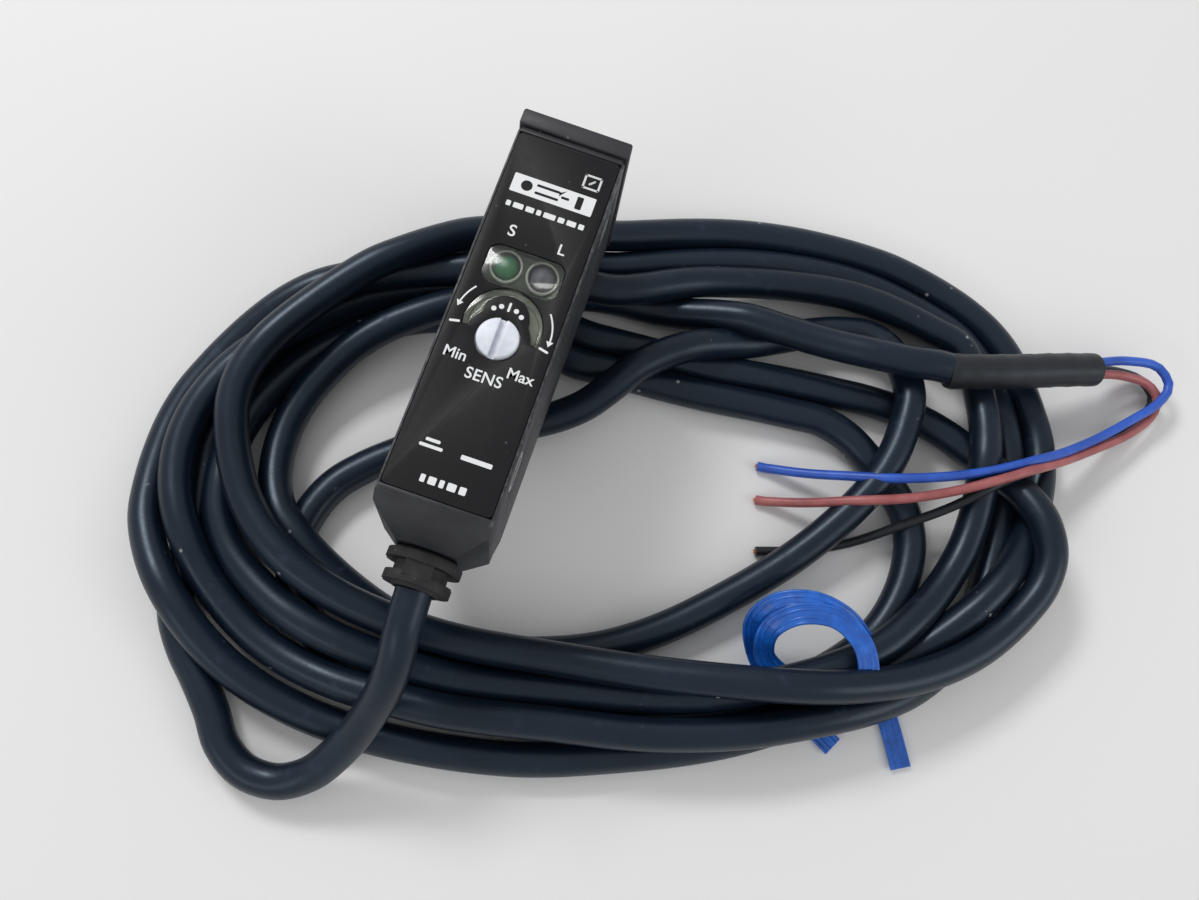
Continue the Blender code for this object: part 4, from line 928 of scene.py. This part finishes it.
def cable_relief(finish):
    """The ribbed bush, whose ribs are tied together by webs above and below and notched at the sides."""
    low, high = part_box("strain_relief")
    outer = (high[0] - low[0]) / 2
    shape = bmesh.new()
    shape.from_mesh(CAD_NODES["strain_relief"].data)
    bmesh.ops.remove_doubles(shape, verts=shape.verts, dist=0.002 * MM)
    mesh = bpy.data.meshes.new("cable_relief")
    shape.to_mesh(mesh)
    shape.free()
    obj = as_object("cable_relief_source", mesh, finish)
    first = CASE_LOW[1] - 0.45 * MM
    spans = {"UNION": [], "DIFFERENCE": []}
    for side in (-1, 1):
        reach = sorted((side * (outer - 1.0 * MM), side * (outer - 0.42 * MM)))
        spans["UNION"].append(((-1.5 * MM, 1.5 * MM), (first - 2.6 * MM, first - 0.6 * MM), reach))
        across = sorted((side * (outer - 0.75 * MM), side * (outer + 1.0 * MM)))
        spans["DIFFERENCE"].append((across, (first - 3.4 * MM, first + 0.1 * MM), (-0.5 * MM, 0.5 * MM)))
    helpers = []
    for operation, boxes in spans.items():
        for xs, ys, zs in boxes:
            corners = [(xs[0], ys[0]), (xs[1], ys[0]), (xs[1], ys[1]), (xs[0], ys[1])]
            helper = as_object("relief_helper", outline_mesh("relief_helper", corners, *zs), finish)
            modifier = obj.modifiers.new("join", "BOOLEAN")
            modifier.operation = operation
            modifier.object = helper
            helpers.append(helper)
    bevel = obj.modifiers.new("rounding", "BEVEL")
    bevel.width = 0.12 * MM
    bevel.segments = 2
    bevel.limit_method = "ANGLE"
    bevel.angle_limit = math.radians(40)
    piece = evaluated(obj, "cable_relief", finish)
    for helper in helpers:
        bpy.data.objects.remove(helper)
    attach(piece, SENSOR)
    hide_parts("strain_relief")
    return piece


def sleeve_piece(finish):
    """The black sleeve shrunk over the cable's end, open where the wires leave."""
    points = smooth_points([Vector(point) * MM for point in SLEEVE_ROUTE], 0.7 * MM)
    radii = []
    for i in range(len(points)):
        share = i / (len(points) - 1)
        ripple = 0.03 * math.sin(share * 41.0) + 0.02 * math.sin(share * 97.0)
        radii.append(SLEEVE_RADIUS + (ripple - 0.12 * share) * MM)
    radii[0] -= 0.18 * MM
    piece = bored_tube("cable_end_sleeve", points, radii, SLEEVE_RADIUS - 0.55 * MM, finish)
    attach(piece, SENSOR)
    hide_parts("cable_sleeve")
    return piece


def core_ends(name, points, finish):
    """Copper strands at a wire's cut end."""
    end = Vector(points[-1])
    way = (end - Vector(points[-2])).normalized()
    meshes = []
    side = way.orthogonal().normalized()
    across = way.cross(side)
    for k in range(7):
        reach = 0.0 if k == 0 else 0.22 * MM
        offset = side * reach * math.cos(k) + across * reach * math.sin(k)
        shape = bmesh.new()
        bmesh.ops.create_cone(
            shape, cap_ends=True, segments=8, radius1=0.1 * MM, radius2=0.09 * MM, depth=0.5 * MM
        )
        turn = way.to_track_quat("Z", "Y").to_matrix().to_4x4()
        bmesh.ops.transform(shape, matrix=Matrix.Translation(end + offset) @ turn, verts=shape.verts)
        mesh = bpy.data.meshes.new(name)
        shape.to_mesh(mesh)
        shape.free()
        meshes.append(mesh)
    piece = joined(name, meshes, finish)
    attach(piece, SENSOR)
    return piece


def wires(cable, copper):
    """The three cores, each a cord of its own."""
    colours = {
        "blue": wire_finish("wire_blue_finish", (0.028, 0.12, 0.6), (0.015, 0.075, 0.42)),
        "brown": wire_finish("wire_brown_finish", (0.42, 0.13, 0.13), (0.3, 0.08, 0.08)),
        "black": jacket_finish("wire_black_finish", (0.012, 0.012, 0.013), (0.02, 0.02, 0.022), 0.42),
    }
    turns = cable[:-SLEEVED_POINTS]
    laid = []
    routes = {"black": BLACK_ROUTE, "brown": BROWN_ROUTE, "blue": BLUE_ROUTE}
    for name, route in routes.items():
        points = smooth_points([Vector(point) * MM for point in route], 1.2 * MM)
        lying = points[:, 0] > (BLACK_DIVES_AT if name == "black" else 0.0)
        points[lying] = laid_over(points[lying], turns, CABLE_RADIUS + WIRE_RADIUS)
        for wire in laid:
            points = laid_over(points, wire, 2 * WIRE_RADIUS)
        laid.append(points)
        piece = curve_piece(f"{name}_core", points, WIRE_RADIUS, colours[name], 4)
        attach(piece, SENSOR)
        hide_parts(f"{name}_wire")
        ends = core_ends(f"{name}_core_end", points, copper)


def camera():
    data = bpy.data.cameras.new("camera")
    data.lens = CAMERA_LENS
    data.clip_start = 0.005
    obj = bpy.data.objects.new("camera", data)
    obj.location = CAMERA_PLACE
    obj.rotation_euler = CAMERA_TURN
    bpy.context.scene.collection.objects.link(obj)
    bpy.context.scene.camera = obj


def area_light(name, place, aim, size, power, colour=(1.0, 1.0, 1.0)):
    data = bpy.data.lights.new(name, "AREA")
    data.shape = "RECTANGLE"
    data.size, data.size_y = size
    data.energy = power
    data.color = colour
    obj = bpy.data.objects.new(name, data)
    obj.location = place
    obj.rotation_euler = (Vector(aim) - Vector(place)).to_track_quat("-Z", "Y").to_euler()
    bpy.context.scene.collection.objects.link(obj)


def stage():
    """A plain pale floor with soft light from above and from both sides."""
    mesh = bpy.data.meshes.new("floor")
    mesh.from_pydata([(-2, -2, 0), (2, -2, 0), (2, 2, 0), (-2, 2, 0)], [], [(0, 1, 2, 3)])
    finish = Finish("floor_finish", specular_ior_level=0.1)
    finish.colour(finish.noise(60.0, 1.0).mix((0.8, 0.8, 0.8), (0.82, 0.82, 0.82)))
    finish.rough(finish.noise(30.0, 1.0) * 0.05 + 0.9)
    floor = as_object("floor", mesh, finish.material)
    floor.location.z = FLOOR_Z - 0.02 * MM
    world = bpy.data.worlds.new("world")
    world.use_nodes = True
    world.node_tree.nodes["Background"].inputs["Color"].default_value = (1.0, 1.0, 1.0, 1.0)
    world.node_tree.nodes["Background"].inputs["Strength"].default_value = 0.56
    bpy.context.scene.world = world
    aim = (0.013, -0.005, -0.01)
    area_light("key", (-0.3, 0.24, 0.4), aim, (0.2, 0.12), 1.45)
    area_light("side", (0.46, -0.06, 0.26), aim, (0.24, 0.24), 0.4)
    area_light("front", (-0.22, -0.42, 0.3), aim, (0.3, 0.1), 0.25)
    bpy.context.scene.view_settings.view_transform = "Standard"


def main():
    camera()
    jacket = jacket_finish("cable_jacket_finish", (0.0035, 0.0075, 0.0155), (0.005, 0.011, 0.022), 0.33)
    points = cable_points()
    cable = curve_piece("cable", points, CABLE_RADIUS, jacket, 7)
    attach(cable, SENSOR)
    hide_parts("cable_lead", "cable_coil", "cable_tail")
    shrunk = jacket_finish("sleeve_finish", (0.012, 0.012, 0.013), (0.018, 0.018, 0.02), 0.4)
    sleeve = sleeve_piece(shrunk)
    blue = tie_finish()
    tie = tie_piece("cable_tie", TIE_ROUTE, blue)
    tie_loop = tie_piece("cable_tie_loop", TIE_LOOP_ROUTE, blue)
    rubber = rubber_finish("relief_rubber_finish", (0.008, 0.008, 0.0095))
    relief = cable_relief(rubber)
    copper = metal_finish("copper_finish", (0.72, 0.36, 0.2), 0.32)
    wires(points, copper)

    # Wear on the case's long edges, plus a painted highlight on its flanks
    case_wear_and_highlight = edge_wear_and_highlight(CASE_HIGH[0] / MM, CASE_HIGH[2] / MM, CASE_LOW[1] / MM, CASE_HIGH[1] / MM)
    case = moulded("case_finish", (0.0145, 0.0155, 0.02), 0.5, wear_and_highlight=case_wear_and_highlight)
    cap = moulded("cap_finish", (0.019, 0.019, 0.024), 0.5)
    film = label_finish()
    ink = ink_finish()
    steel = metal_finish("sleeve_steel_finish", (0.58, 0.58, 0.58), 0.3, (0.1, 1.0, 1.0))
    clear = clear_finish("window_finish", (0.86, 0.9, 0.84))
    softened("main_case", "case_body", case, 0.14 * MM)
    softened("end_cap", "cap_body", cap, 0.06 * MM)
    softened("label_panel", "panel_film", film, 0.03 * MM)
    knob = moulded("knob_finish", (0.66, 0.69, 0.76), 0.4, 0.008)
    softened("sensitivity_knob", "adjuster_knob", knob, 0.05 * MM, "adjuster")
    red = clear_finish("cover_finish", (0.32, 0.06, 0.07), 0.05)
    softened("front_cover", "light_cover", red, 0.05 * MM)
    softened("indicator_window", "lamp_window", clear, 0.05 * MM)
    softened("dial_window", "crescent_window", clear, 0.03 * MM)
    panel_print(ink, film)
    # Pale hazy ring finish: a painted highlight round each LED
    rim = clear_finish("rim_finish", (0.8, 0.84, 0.8), 0.1, 0.75)
    green = led_finish("green_led_finish", (0.045, 0.3, 0.13), (0.008, 0.13, 0.04))
    grey = led_finish("grey_led_finish", (0.21, 0.19, 0.28), (0.07, 0.05, 0.08))
    led_piece("stability_led", "green_lamp", green, rim)
    led_piece("light_led", "grey_lamp", grey, rim)
    lamp_well(moulded("well_finish", (0.05, 0.062, 0.05), 0.35))
    wheel_pointer(ink)
    wheel_radius = (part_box("indicator_wheel")[1][0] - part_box("indicator_wheel")[0][0]) / 2
    dress("indicator_wheel", wheel_finish(DIAL[1] * MM, wheel_radius))

    plain = {
        "cap_seal": rubber_finish("seal_finish", (0.008, 0.008, 0.009)),
        "front_gasket": rubber_finish("gasket_finish", (0.01, 0.01, 0.011)),
        "shaft_seal": rubber_finish("ring_finish", (0.01, 0.01, 0.011)),
        "adjuster_pinion": moulded("pinion_finish", (0.62, 0.6, 0.52), 0.45, 0.006),
        "dial_housing": moulded("housing_finish", (0.03, 0.03, 0.034), 0.5),
        "trimmer_body": moulded("trimmer_finish", (0.03, 0.06, 0.16), 0.45),
        "board_connector": moulded("connector_finish", (0.03, 0.03, 0.03), 0.45),
        "signal_chip": moulded("chip_finish", (0.014, 0.014, 0.015), 0.5),
        "output_transistor": moulded("transistor_finish", (0.016, 0.016, 0.017), 0.5),
        "supply_capacitor": metal_finish("capacitor_finish", (0.6, 0.46, 0.22), 0.4),
        "receiver_shield": metal_finish("shield_finish", (0.62, 0.62, 0.6), 0.35),
        "optics_holder": moulded("holder_finish", (0.018, 0.018, 0.02), 0.6),
        "emitter_led": led_finish("emitter_finish", (0.5, 0.03, 0.03), (0.3, 0.01, 0.01)),
        "receiver_photodiode": clear_finish("diode_finish", (0.06, 0.04, 0.07), 0.1, 0.5),
        "emitter_lens": clear_finish("emitter_lens_finish", (0.9, 0.9, 0.92), 0.03),
        "receiver_lens": clear_finish("receiver_lens_finish", (0.9, 0.9, 0.92), 0.03),
        "emitter_filter": clear_finish("emitter_filter_finish", (0.2, 0.18, 0.24), 0.06, 0.2),
        "receiver_filter": clear_finish("receiver_filter_finish", (0.2, 0.18, 0.24), 0.06, 0.2),
        "lower_mounting_sleeve": steel,
        "upper_mounting_sleeve": steel,
        "cable_jacket_end": jacket,
        "cable_clamp": metal_finish("clamp_finish", (0.7, 0.52, 0.26), 0.35),
        "brown_wire_end": wire_finish("brown_end_finish", (0.5, 0.16, 0.15), (0.36, 0.1, 0.09)),
        "blue_wire_end": wire_finish("blue_end_finish", (0.035, 0.12, 0.72), (0.02, 0.07, 0.46)),
        "black_wire_end": wire_finish("black_end_finish", (0.02, 0.02, 0.022), (0.012, 0.012, 0.013)),
    }
    for node, finish in plain.items():
        dress(node, finish)
    board = board_finish()
    for node in ("panel_board", "main_board"):
        dress(node, board)
    stage()


main()
